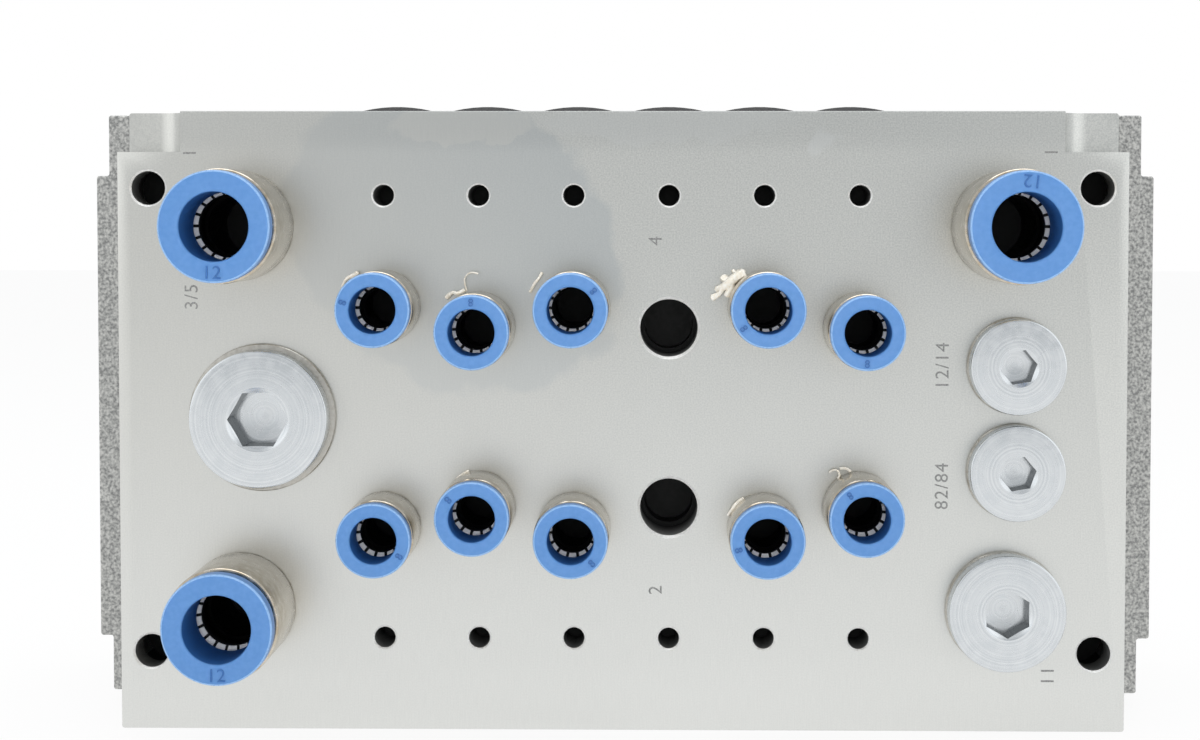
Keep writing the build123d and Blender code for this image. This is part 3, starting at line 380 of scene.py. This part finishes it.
# The edges of the patches waver by up to 6 mm, in waves about 9 mm long
ragged = add_node(milled_aluminium, "ShaderNodeTexNoise", {"Vector": place, "Scale": 110.0, "Detail": 5.0})
ragged_shift = add_node(
    milled_aluminium,
    "ShaderNodeVectorMath",
    {0: ragged.outputs["Color"], 1: (0.5, 0.5, 0.5)},
    operation="SUBTRACT",
)
ragged_place = add_node(
    milled_aluminium,
    "ShaderNodeVectorMath",
    {0: ragged_shift.outputs[0], 1: (0.012, 0.0, 0.012), 2: place},
    operation="MULTIPLY_ADD",
)
layer = tone
# Each patch: its middle and reach in m, turn in degrees, edge softness, colour and strength
for middle, reach, turn, edge, color, amount in (
    ((-0.032, 0, 0.034), (0.034, 1, 0.027), 35, 0.03, "#B8BFC2", 0.55),
    ((-0.075, 0, 0.020), (0.050, 1, 0.060), 0, 0.60, "#D8D7D1", 0.5),
    # A pale band over the lower part: painted reflection of the white table
    ((0.0, 0, -0.070), (0.180, 1, 0.060), 0, 0.70, "#EBECE9", 0.75),
    ((0.038, 0, 0.052), (0.003, 1, 0.003), 0, 0.15, "#DCDEDC", 0.6),
    ((0.008, 0, 0.056), (0.022, 1, 0.004), 0, 0.10, "#DADCDA", 0.4),
    ((-0.030, 0, 0.055), (0.014, 1, 0.004), 0, 0.05, "#D8D8D3", 0.5),
):
    spot = add_node(
        milled_aluminium,
        "ShaderNodeMapping",
        {
            "Vector": ragged_place.outputs[0],
            "Location": middle,
            "Rotation": (0, math.radians(turn), 0),
            "Scale": reach,
        },
        vector_type="TEXTURE",
    )
    away = add_node(milled_aluminium, "ShaderNodeVectorMath", {0: spot.outputs[0]}, operation="LENGTH")
    cover = add_node(
        milled_aluminium,
        "ShaderNodeMapRange",
        {"Value": away.outputs["Value"], "From Min": 1.0 + edge, "From Max": 1.0 - edge, "To Max": amount},
    )
    stains_and_painted_reflection = add_node(
        milled_aluminium,
        "ShaderNodeMix",
        {"Factor": cover.outputs[0], 6: layer, 7: linear(color)},
        data_type="RGBA",
    )
    layer = stains_and_painted_reflection.outputs[2]
# Cutter grain: lines 0.2 mm apart and about 4 mm long, along the height of the plate
line_gap = 0.2 * mm
line_length = 4 * mm
grain_place = add_node(
    milled_aluminium,
    "ShaderNodeMapping",
    {"Vector": place, "Scale": (1 / line_gap, 1 / line_gap, 1 / line_length)},
)
grain = add_node(milled_aluminium, "ShaderNodeTexNoise", {"Vector": grain_place.outputs[0], "Scale": 1.0})
grain_depth = add_node(milled_aluminium, "ShaderNodeMapRange", {"Value": grain.outputs[0], "To Max": 0.16})
grained = add_node(
    milled_aluminium,
    "ShaderNodeMix",
    {"Factor": grain_depth.outputs[0], 6: layer, 7: linear("#9EA0A0")},
    data_type="RGBA",
)
milled_aluminium.node_tree.links.new(grained.outputs[2], shader.inputs["Base Color"])

# Walls of the drilled holes: the same metal, left rough, with painted shade that darkens them to near black
# the deeper they go.
drilled_walls = material("drilled_walls_painted_shade", "#8C8D8C", "#9C9D9B", 0.3, (0.45, 0.6), 0.6, 0.01)
shader, place, tone = base_of(drilled_walls)
depth = add_node(drilled_walls, "ShaderNodeSeparateXYZ", {0: place})
darker = add_node(
    drilled_walls,
    "ShaderNodeMapRange",
    {"Value": depth.outputs["Y"], "From Min": 0.0008, "From Max": 0.0128, "To Min": 0.35, "To Max": 0.97},
)
depth_painted_shade = add_node(
    drilled_walls,
    "ShaderNodeMix",
    {"Factor": darker.outputs[0], 6: tone, 7: linear("#050606")},
    data_type="RGBA",
)
drilled_walls.node_tree.links.new(depth_painted_shade.outputs[2], shader.inputs["Base Color"])

# Countersunk rims: a paler, less metallic copy of the plate's metal, a painted highlight where the light
# catches each rim.
rim_painted_highlight = material("countersink_painted_highlight", "#E4E5E3", "#F6F6F4", 0.4, (0.4, 0.5), 0.5, 0.002)


def hole(radius, depth, rim, thread, passage):
    """the tool for one hole: a countersunk rim, a wall that may be threaded, and a passage behind it"""
    above = 2
    line = [(0, above), (radius + rim + above, above), (radius + rim, 0), (radius, -rim)]
    if thread:
        thread_start = rim + 0.2
        for turn in range(int((depth - 1.6 * rim) / thread_pitch)):
            top = -thread_start - turn * thread_pitch
            root = (radius + thread, top - thread_pitch / 2)
            line += [(radius, top), root, (radius, top - thread_pitch + 0.05)]
    line.append((radius, -depth))
    if passage:
        line += [(passage, -depth), (passage, -passage_end), (0, -passage_end)]
    else:
        drill_point = radius * 0.55
        line.append((0, -depth - drill_point))
    return turned(line, steps=64)


plate = block(plate_size, plate_centre, edge=0.45)
pocket_tool = 30.0
for side in (-1, 1):
    pocket = block(
        (2 * pocket_length, 2 * pocket_depth, pocket_tool),
        (side * plate_size.x / 2, 0, pocket_floor + pocket_tool / 2),
    )
    rounded_edges = [
        edge
        for edge in pocket.edges
        if all(vert.co.y > 0 and abs(vert.co.x) < plate_size.x / 2 * mm for vert in edge.verts)
    ]
    bmesh.ops.bevel(
        pocket,
        geom=rounded_edges,
        offset=pocket_radius * mm,
        segments=8,
        profile=0.5,
        affect="EDGES",
        material=-1,
    )
    plate = cut(plate, pocket)
drills = bmesh.new()
# Each kind of hole: radius, depth, countersink, depth of the thread, radius of the passage, and places
for radius, depth, rim, thread, passage, places in (
    (5.45, port_depth, 0.5, 0.45, 4.7, open_places),
    (output_bore, port_depth, 0.8, 0, 4.7, output_places.values()),
    (output_bore, port_depth, 0.8, 0, 2.5, pilot_plug_places),
    (supply_bore, port_depth, 0.4, 0, 6.0, [*supply_places.values(), *supply_plug_places]),
    (exhaust_bore, port_depth, 0.4, 0, 8.0, exhaust_plug_places),
    (2.0, 12.0, 0.3, 0.25, None, small_hole_places),
    (3.2, 6.5, 0.35, 0, 5.5, panel_places),
):
    copy_into(drills, hole(radius, depth, rim, thread, passage), places)
plate = cut(plate, drills)
# What lies under the face and away from the plate's own edges is a rim down to here, then a drilled wall
rim_depth = 0.85
for face in plate.faces:
    spot = face.calc_center_median() / mm
    off_edges = abs(spot.x) < 94 and abs(spot.z - plate_centre.z) < 57 and 0.02 < spot.y < 19.9
    in_pocket = abs(spot.x) > 83 and spot.z > 49
    face.material_index = 0
    if off_edges and not in_pocket:
        # Rims take the painted highlight, the deeper walls the painted shade
        face.material_index = 1 if spot.y > rim_depth else 2
piece(
    "milled_connector_plate",
    plate,
    [milled_aluminium, drilled_walls, rim_painted_highlight],
    nodes=["connector_plate"],
)

# Engraved port numbers: shallow cuts filled with dark grey dirt, read from the right.
engraving_grey = material("engraving_grey", "#6B6C6C", "#A0A19F", 0.0, (0.6, 0.8), 0.35, 0.01)


def lettering(text, size, thickness, spread):
    """flat raised letters in the XY plane, centred on the origin, as a mesh"""
    curve = bpy.data.curves.new("letters", "FONT")
    curve.body = text
    curve.size = size * mm
    curve.space_character = spread
    curve.extrude = thickness * mm / 2
    curve.align_x = "CENTER"
    curve.align_y = "CENTER"
    curve.resolution_u = 3
    holder = bpy.data.objects.new("letters", curve)
    bpy.context.scene.collection.objects.link(holder)
    mesh = bpy.data.meshes.new_from_object(holder.evaluated_get(bpy.context.evaluated_depsgraph_get()))
    bpy.data.objects.remove(holder)
    letters = bmesh.new()
    letters.from_mesh(mesh)
    bpy.data.meshes.remove(mesh)
    return letters


face_front = Matrix.Rotation(math.pi / 2, 4, "X")
read_from_right = Matrix.Rotation(-math.pi / 2, 4, "Y")
labels = bmesh.new()
for text, x, z in (
    ("3/5", -81.4, 22.8),
    ("12/14", 60.7, 9.9),
    ("82/84", 60.7, -12.9),
    ("11", 81.0, -49.0),
    ("4", 6.5, 33.5),
    ("2", 6.6, -32.8),
    ("1", -81.5, 50.0),
    ("1", 80.9, 50.2),
    ("11", -81.5, -48.5),
):
    copy_into(labels, lettering(text, 3.6, 0.02, 1.1), [(x, -0.006, z)], read_from_right @ face_front)
piece("engraved_port_numbers", labels, [engraving_grey])

# Release rings: moulded in blue acetal, with the tube size raised on the face. Each slides in the body
# of its fitting, and pressing it in spreads the teeth and frees the tube.
blue_acetal = material("blue_acetal", "#5386C2", "#5B8CC7", 0.0, (0.3, 0.42), 0.9, 0.003)
shader = blue_acetal.node_tree.nodes["Principled BSDF"]
shader.inputs["Subsurface Weight"].default_value = 0.06
shader.inputs["Subsurface Radius"].default_value = (0.2, 0.4, 1.0)
shader.inputs["Subsurface Scale"].default_value = 0.0015
# The raised figures and the wall of each ring's mouth take a darker blue: painted shade for the relief of
# the figures and the inside of the mouth
blue_painted_shade = material("blue_acetal_painted_shade", "#2C5F9F", "#376CAB", 0.0, (0.4, 0.5), 0.4, 0.004)
# The thin rounded edge takes a paler blue, a painted highlight along the rim
blue_rim_highlight = material("blue_acetal_painted_highlight", "#86AEDD", "#92B8E4", 0.0, (0.25, 0.35), 0.6, 0.002)

letter_height = 0.22
# What a fitting and its ring share, in mm: the tube's diameter, the height of the ring's face over the
# plate, the thickness of its flange, and how deep the teeth lie under the face
small_size = {"tube": 8, "top": 17.0, "flange": 2.6, "teeth": 12.0}
large_size = {"tube": 12, "top": 23.0, "flange": 3.2, "teeth": 15.5}
small_ring_diameter = 13.75
large_ring_diameter = 20.3


def ring_profile(tube, top, flange, teeth, diameter):
    """the outline of a release ring, closed, from the end of its sleeve"""
    sleeve_wall = 0.85
    bead_height = 0.35
    bead_length = 0.8
    bead_to_flange = 2.8
    teeth_to_sleeve = 2.8
    bevel = 0.25
    mouth = tube / 2 + 0.25
    sleeve = mouth + sleeve_wall
    underside = top - flange
    bead = underside - bead_to_flange
    end = top - teeth + teeth_to_sleeve
    face = top - letter_height
    line = [
        (mouth, end),
        (sleeve, end),
        (sleeve, bead - bead_length),
        (sleeve + bead_height, bead),
        (sleeve, bead),
        (sleeve, underside),
        (diameter / 2 - bevel, underside),
        (diameter / 2, underside + bevel),
    ]
    rounded_edge = [(diameter / 2, underside + bevel), (diameter / 2, face), (mouth, face), (mouth, end)]
    return line + softened(rounded_edge, 0.55, 5)[1:]


small_ring = turned(ring_profile(**small_size, diameter=small_ring_diameter), steps=96)
large_ring = turned(ring_profile(**large_size, diameter=large_ring_diameter), steps=120)
for ring, size, diameter in (
    (small_ring, small_size, small_ring_diameter),
    (large_ring, large_size, large_ring_diameter),
):
    for face in ring.faces:
        spot = face.calc_center_median() / mm
        away = math.hypot(spot.x, spot.z)
        # The inner wall of the mouth takes the painted shade
        if away < size["tube"] / 2 + 0.4 and abs(face.normal.y) < 0.3:
            face.material_index = 1
        # The rounded outer edge takes the painted highlight
        elif away > diameter / 2 - 0.5 and -0.97 < face.normal.y < -0.2:
            face.material_index = 2
# Where round its ring each number stands, in degrees from the right, as the fittings came to rest
number_angles = {
    "port_4_valve_1": 165,
    "port_4_valve_2": 90,
    "port_4_valve_3": 40,
    "port_4_valve_5": 215,
    "port_4_valve_6": 268,
    "port_2_valve_1": -30,
    "port_2_valve_2": 140,
    "port_2_valve_3": -45,
    "port_2_valve_5": 195,
    "port_2_valve_6": 125,
    "supply_1_left": -92,
    "supply_1_right": 84,
    "supply_11_left": -90,
}
for name, (x, z) in {**output_places, **supply_places}.items():
    if name.startswith("supply"):
        pattern, size, letter_size, reach = large_ring, large_size, 3.4, 8.3
    else:
        pattern, size, letter_size, reach = small_ring, small_size, 2.1, 5.6
    shape = bmesh.new()
    copy_into(shape, pattern, [(x, z)])
    angle = math.radians(number_angles[name])
    turn = Matrix.Rotation(-angle - math.pi / 2, 4, "Y") @ face_front
    spot = (
        x + reach * math.cos(angle),
        letter_height / 2 - size["top"],
        z + reach * math.sin(angle),
    )
    letters = lettering(str(size["tube"]), letter_size, letter_height, 1.05)
    # The figures take the painted shade
    for face in letters.faces:
        face.material_index = 1
    copy_into(shape, letters, [spot], turn)
    node = f"release_ring_{name}"
    piece(
        f"{node}_moulding",
        shape,
        [blue_acetal, blue_painted_shade, blue_rim_highlight],
        body=node,
        nodes=[node],
    )

# Bodies of the fittings: turned from brass and nickel plated, screwed into the plate by the hexagon
# deep in the bore. The plating is bright and warm, and shows the plate and the table around it.
nickel_plating = material("nickel_plated_brass", "#B9AD98", "#D9D2C5", 1.0, (0.14, 0.28), 1.8, 0.003)
# Inside, the bore is painted near black: painted shade, as hardly any light comes back out of it
bore_painted_shade = material("bore_walls_painted_shade", "#0A0B0B", "#1A1A18", 1.0, (0.35, 0.5), 0.8, 0.01)
thread_gap = 0.05


def body_pattern(tube, top, flange, teeth, diameter, insertion, bore, shank_length, steps):
    """the body of a fitting, turned outside and inside, with a narrower passage below the tube's seat"""
    guide = tube / 2 + 1.2
    cavity = guide + 0.35
    seal_bore = tube / 2 + 1.0
    tube_bore = tube / 2 + 0.1
    passage = tube_bore - 0.6
    shank = bore - thread_gap
    end = top - flange - 1.5
    lip = end - 1.2
    grip_seat = top - teeth + 1.0
    seal_seat = grip_seat - 3.2
    seat = top - insertion
    foot = 0.3
    chamfer = 1.0
    outside = [(guide, end), (diameter / 2, end), (diameter / 2, foot), (shank, foot)]
    line = [
        (passage, seat),
        (tube_bore, seat),
        (tube_bore, seal_seat),
        (seal_bore, seal_seat),
        (seal_bore, grip_seat),
        (cavity, grip_seat),
        (cavity, lip),
        (guide, lip),
        *softened(outside, 0.35, 3),
        (shank, chamfer - shank_length),
        (shank - chamfer, -shank_length),
        (passage, -shank_length),
        (passage, seat),
    ]
    body = turned(line, steps=steps)
    for face in body.faces:
        spot = face.calc_center_median() / mm
        within = math.hypot(spot.x, spot.z) < guide and spot.y > -end + 1.0
        # Faces inside the guide take the painted shade
        face.material_index = 1 if within else 0
    return body


small_bodies = bmesh.new()
small_body = body_pattern(
    **small_size, diameter=14.0, insertion=16.8, bore=output_bore, shank_length=9.5, steps=72
)
copy_into(small_bodies, small_body, output_places.values())
piece(
    "small_fitting_bodies_turned",
    small_bodies,
    [nickel_plating, bore_painted_shade],
    nodes=["small_fitting_bodies"],
)
large_bodies = bmesh.new()
large_body = body_pattern(
    **large_size, diameter=21.0, insertion=22.0, bore=supply_bore, shank_length=11.0, steps=96
)
copy_into(large_bodies, large_body, supply_places.values())
piece(
    "large_fitting_bodies_turned",
    large_bodies,
    [nickel_plating, bore_painted_shade],
    nodes=["large_fitting_bodies"],
)

# Shreds of white thread sealing tape, squeezed out of the threads and left curling at the feet of some
# fittings when they were screwed in.
sealing_tape = material("ptfe_sealing_tape", "#F3EBDA", "#FDFBF4", 0.0, (0.4, 0.6), 0.5, 0.02)


def shred(points, thickness):
    """one curled shred: a soft thin tube through the points (x, height over the plate, z) in mm"""
    curve = bpy.data.curves.new("shred", "CURVE")
    curve.dimensions = "3D"
    curve.bevel_depth = thickness * mm / 2
    curve.bevel_resolution = 1
    curve.resolution_u = 5
    curve.use_fill_caps = True
    spline = curve.splines.new("NURBS")
    spline.points.add(len(points) - 1)
    for point, (x, height, z) in zip(spline.points, points):
        point.co = (x * mm, -height * mm, z * mm, 1)
        point.radius = 0.55 + 0.45 * abs(math.sin(x * 3 + z * 5))
    spline.order_u = 3
    spline.use_endpoint_u = True
    holder = bpy.data.objects.new("shred", curve)
    bpy.context.scene.collection.objects.link(holder)
    mesh = bpy.data.meshes.new_from_object(holder.evaluated_get(bpy.context.evaluated_depsgraph_get()))
    bpy.data.objects.remove(holder)
    strand = bmesh.new()
    strand.from_mesh(mesh)
    bpy.data.meshes.remove(mesh)
    return strand


shreds = bmesh.new()
# Each group: its middle on the port face, and its strands as offsets from there, with their thickness
for x, z, strands in (
    (-51.6, 25.4, [([(-1.2, 0.4, -0.6), (-0.6, 1.4, 0.9), (0.9, 0.9, 1.5), (1.9, 1.6, 2.1)], 0.8)]),
    (
        -30.6,
        24.4,
        [
            ([(1.4, 0.5, -0.4), (0.9, 1.2, 1.4), (1.3, 1.6, 2.6), (2.5, 1.9, 3.3), (3.6, 1.5, 2.9)], 0.4),
            ([(-2.4, 0.4, -1.7), (-1.2, 1.2, -0.3), (-0.4, 0.9, -1.2), (1.0, 0.5, -0.2)], 1.0),
        ],
    ),
    (-16.6, 25.6, [([(-0.6, 0.4, -1.8), (0.1, 1.2, -0.2), (1.1, 0.8, 0.8), (1.6, 0.4, 1.9)], 0.6)]),
    (
        20.6,
        25.4,
        [
            (
                [(-3.4, 0.6, -2.6), (-2.0, 1.5, -2.0), (-1.6, 2.0, -0.4), (-0.2, 1.4, 0.4), (1.9, 1.0, 2.2)],
                1.6,
            ),
            ([(-2.6, 0.5, -1.0), (-1.0, 2.4, -0.6), (0.6, 2.0, 1.2), (2.4, 1.2, 2.0)], 2.0),
            ([(-1.4, 0.5, 1.2), (-0.4, 1.6, 0.4), (0.2, 2.2, -0.6), (-0.8, 1.6, -2.2)], 1.7),
            ([(0.4, 0.5, 2.6), (1.4, 1.2, 1.4), (2.6, 1.6, 2.6)], 0.7),
        ],
    ),
    (
        41.0,
        -10.4,
        [
            (
                [(-1.6, 0.4, 0.2), (-0.6, 1.5, 1.2), (0.4, 1.6, -0.2), (-0.4, 1.2, -1.2), (1.4, 0.5, -0.6)],
                0.5,
            ),
            ([(0.4, 0.4, 0.9), (1.6, 1.2, 1.3), (2.3, 0.8, 0.4)], 0.6),
        ],
    ),
    (21.4, -16.8, [([(-1.2, 0.4, -1.6), (-0.4, 1.5, -0.3), (0.5, 1.2, 0.9), (1.7, 0.6, 1.6)], 0.9)]),
    (-31.0, -11.6, [([(-1.0, 0.4, -1.4), (-0.2, 1.2, 0.1), (1.1, 0.9, 0.9), (2.1, 0.5, 1.5)], 0.7)]),
):
    for points, thickness in strands:
        path = [(x + along, height, z + up) for along, height, up in points]
        copy_into(shreds, shred(path, thickness), [(0, 0)])
piece("thread_sealing_tape_shreds", shreds, [sealing_tape], crease=60)

# Blanking plugs: turned steel, zinc plated and passivated, which leaves them bright with a cold blue
# tinge. Each has a hexagon socket with a countersunk mouth and seals on a flat ring.
zinc_plating = material("zinc_plated_steel", "#DEE2E4", "#EBEEEF", 1.0, (0.22, 0.32), 2.2, 0.002)
shader, place, tone = base_of(zinc_plating)
# Turning marks: rings about each plug's own axis, drawn this far apart to show in the render
mark_gap = 0.35 * mm
nearest = None
for x, z in plug_places:
    around = add_node(
        zinc_plating,
        "ShaderNodeMapping",
        {"Vector": place, "Location": (-x * mm, 0, -z * mm), "Scale": (1, 0, 1)},
    )
    away = add_node(zinc_plating, "ShaderNodeVectorMath", {0: around.outputs[0]}, operation="LENGTH")
    if nearest is None:
        nearest = away.outputs["Value"]
    else:
        nearest = add_node(
            zinc_plating, "ShaderNodeMath", {0: nearest, 1: away.outputs["Value"]}, operation="MINIMUM"
        ).outputs[0]
marks = add_node(
    zinc_plating,
    "ShaderNodeTexNoise",
    {"W": nearest, "Scale": 1 / mark_gap, "Detail": 1.0},
    noise_dimensions="1D",
)
mark_depth = add_node(zinc_plating, "ShaderNodeMapRange", {"Value": marks.outputs[0], "To Max": 0.6})
marked = add_node(
    zinc_plating,
    "ShaderNodeMix",
    {"Factor": mark_depth.outputs[0], 6: tone, 7: linear("#B4BAC0")},
    data_type="RGBA",
)
zinc_plating.node_tree.links.new(marked.outputs[2], shader.inputs["Base Color"])
mark_relief = add_node(
    zinc_plating, "ShaderNodeBump", {"Height": marks.outputs[0], "Strength": 1.0, "Distance": 0.004 * mm}
)
zinc_plating.node_tree.links.new(mark_relief.outputs[0], shader.inputs["Normal"])

# The walls of the key sockets take a darker grey: painted shade inside the hexagon
socket_painted_shade = material("socket_walls_painted_shade", "#54585B", "#74797C", 1.0, (0.25, 0.4), 0.6, 0.01)
seal_thickness = 1.2


def plug_pattern(diameter, flange, bore, key, key_depth, key_turn):
    """a blanking plug: turned, then cut by its countersink and its hexagon socket"""
    shank = bore - thread_gap
    shank_length = 9.0
    chamfer = 1.0
    top = seal_thickness + flange
    corner = key / math.sqrt(3)
    mouth = corner + 0.3
    outside = [
        (diameter / 2 - 0.5, seal_thickness),
        (diameter / 2, seal_thickness + 0.4),
        (diameter / 2, top),
        (0, top),
    ]
    line = [
        (0, -shank_length),
        (shank - chamfer, -shank_length),
        (shank, chamfer - shank_length),
        (shank, seal_thickness),
        *softened(outside, 0.45, 4),
    ]
    plug = turned(line, steps=96)
    above = 1.0
    sink = [(0, top - mouth * 0.55), (mouth, top), (mouth + 0.5, top + above), (0, top + above)]
    plug = cut(plug, turned(sink, steps=72))
    socket = bmesh.new()
    bmesh.ops.create_cone(
        socket,
        cap_ends=True,
        segments=6,
        radius1=corner * mm,
        radius2=corner * mm,
        depth=(key_depth + 2 * above) * mm,
    )
    aim = Matrix.Rotation(math.radians(key_turn), 3, "Y") @ Matrix.Rotation(math.pi / 2, 3, "X")
    bmesh.ops.rotate(socket, verts=socket.verts, cent=(0, 0, 0), matrix=aim)
    bmesh.ops.translate(socket, verts=socket.verts, vec=(0, (key_depth / 2 - above - top) * mm, 0))
    plug = cut(plug, socket)
    bottom = top - key_depth
    drill = [(0, bottom - 1.0), (key * 0.42, bottom + 0.02), (0, bottom + 0.5)]
    plug = cut(plug, turned(drill, steps=48))
    for face in plug.faces:
        spot = face.calc_center_median() / mm
        in_socket = math.hypot(spot.x, spot.z) < corner and 0.2 - top < spot.y < -0.5
        # Socket walls take the painted shade
        face.material_index = 1 if in_socket and abs(face.normal.y) < 0.5 else 0
    return plug


plugs = bmesh.new()
# Each size: diameter and thickness of the flange, radius of the bore, and the key, its depth and turn
for diameter, flange, bore, key, key_depth, key_turn, places in (
    (26.0, 4.5, exhaust_bore, 10.0, 7.0, 90, exhaust_plug_places),
    (22.0, 4.0, supply_bore, 8.0, 5.5, 0, supply_plug_places),
    (18.0, 3.5, output_bore, 6.0, 5.0, 20, pilot_plug_places),
):
    copy_into(plugs, plug_pattern(diameter, flange, bore, key, key_depth, key_turn), places)
piece(
    "blanking_plugs_turned",
    plugs,
    [zinc_plating, socket_painted_shade],
    nodes=["blanking_plugs"],
)

# Seal rings under the plugs: pressed from soft aluminium sheet, dull beside the plugs.
dull_aluminium = material("soft_aluminium_sheet", "#B9B6AE", "#D0CEC7", 1.0, (0.32, 0.5), 0.9, 0.006)
rings = bmesh.new()
for outer, inner, places in (
    (14.0, 9.4, exhaust_plug_places),
    (11.2, 7.6, supply_plug_places),
    (9.2, 5.9, pilot_plug_places),
):
    outside = [(outer - 0.3, 0), (outer, 0), (outer, seal_thickness), (inner, seal_thickness)]
    line = [(inner, 0), *softened(outside, 0.4), (inner, 0)]
    copy_into(rings, turned(line, steps=96), places)
piece("plug_seal_rings_pressed", rings, [dull_aluminium], nodes=["plug_seal_rings"])

# The other pieces keep their CAD shape. Each finish: what it is and how it was made, its slot in the
# record, two colours, metallic, roughness from and to, grain size in mm and relief in mm.
finishes = {}
for slot, name, dark, light, metallic, roughness, grain, relief in (
    # Sand cast: the mould's grit leaves a coarse mottled skin that glitters
    ("cast_aluminium", "sand_cast_aluminium", "#8C8D8C", "#D6D6D3", 1.0, (0.5, 0.65), 0.55, 0.05),
    # Pressure die cast, then blasted: even grey with a fine tooth
    ("slice_aluminium", "die_cast_aluminium", "#8F9193", "#A5A7A8", 1.0, (0.42, 0.55), 0.5, 0.01),
    # Turned and hard anodised: smooth and a little darker
    ("spool_aluminium", "anodised_spool_aluminium", "#7F8285", "#8E9194", 1.0, (0.25, 0.35), 0.9, 0.002),
    # Glass-filled nylon, moulded: nearly black with a soft eroded texture
    ("black_plastic", "glass_filled_nylon", "#141415", "#222223", 0.0, (0.45, 0.62), 0.35, 0.012),
    ("housing_plastic", "moulded_housing_nylon", "#18191A", "#262728", 0.0, (0.48, 0.62), 0.35, 0.012),
    ("insert_plastic", "moulded_connector_insert", "#101011", "#1B1B1C", 0.0, (0.4, 0.55), 0.3, 0.006),
    # Glass laminate under a solder mask: green, glossy, with the weave just felt through it
    ("circuit_board", "green_solder_mask", "#123F24", "#1B5030", 0.0, (0.28, 0.4), 0.6, 0.006),
    # Polycarbonate, clear amber: glossy
    ("amber_lens", "amber_polycarbonate", "#C9821A", "#E09A2A", 0.0, (0.12, 0.2), 1.2, 0.002),
    # Cold-headed steel, zinc plated: grey with a faint mottle
    ("screw_steel", "zinc_plated_screws", "#94989B", "#B2B5B7", 1.0, (0.28, 0.42), 0.5, 0.006),
    ("solenoid_steel", "plated_solenoid_cans", "#8F9294", "#A6A8AA", 1.0, (0.3, 0.42), 0.8, 0.004),
    # Stamped stainless strip, drawn as a white non-metal: a painted highlight for the light its teeth catch
    ("spring_steel", "stainless_teeth_painted_highlight", "#F8F8F7", "#FFFFFF", 0.0, (0.3, 0.4), 0.4, 0.004),
    # Nitrile rubber, moulded: black and dull
    ("seal_rubber", "nitrile_rubber", "#121212", "#1D1D1D", 0.0, (0.65, 0.8), 0.4, 0.01),
    # Drawn steel shell, tin plated: pale and slightly cloudy
    ("tinned_steel", "tin_plated_steel", "#AFAEAA", "#C6C5C1", 1.0, (0.22, 0.38), 0.9, 0.003),
    # Turned brass pins with a gold flash
    ("pin_brass", "gold_flashed_pins", "#B98F3C", "#D4AF5A", 1.0, (0.18, 0.3), 0.4, 0.002),
    # Acetal, moulded in blue
    ("button_plastic", "blue_moulded_button", "#28579A", "#3468AE", 0.0, (0.35, 0.48), 0.5, 0.006),
):
    finishes[slot] = material(name, dark, light, metallic, roughness, grain, relief)
for subpart in frame["record"]["subparts"]:
    finish = finishes.get(subpart["material_slot"])
    if finish:
        node = frame["nodes"][subpart["node"]]
        node.data.materials.clear()
        node.data.materials.append(finish)
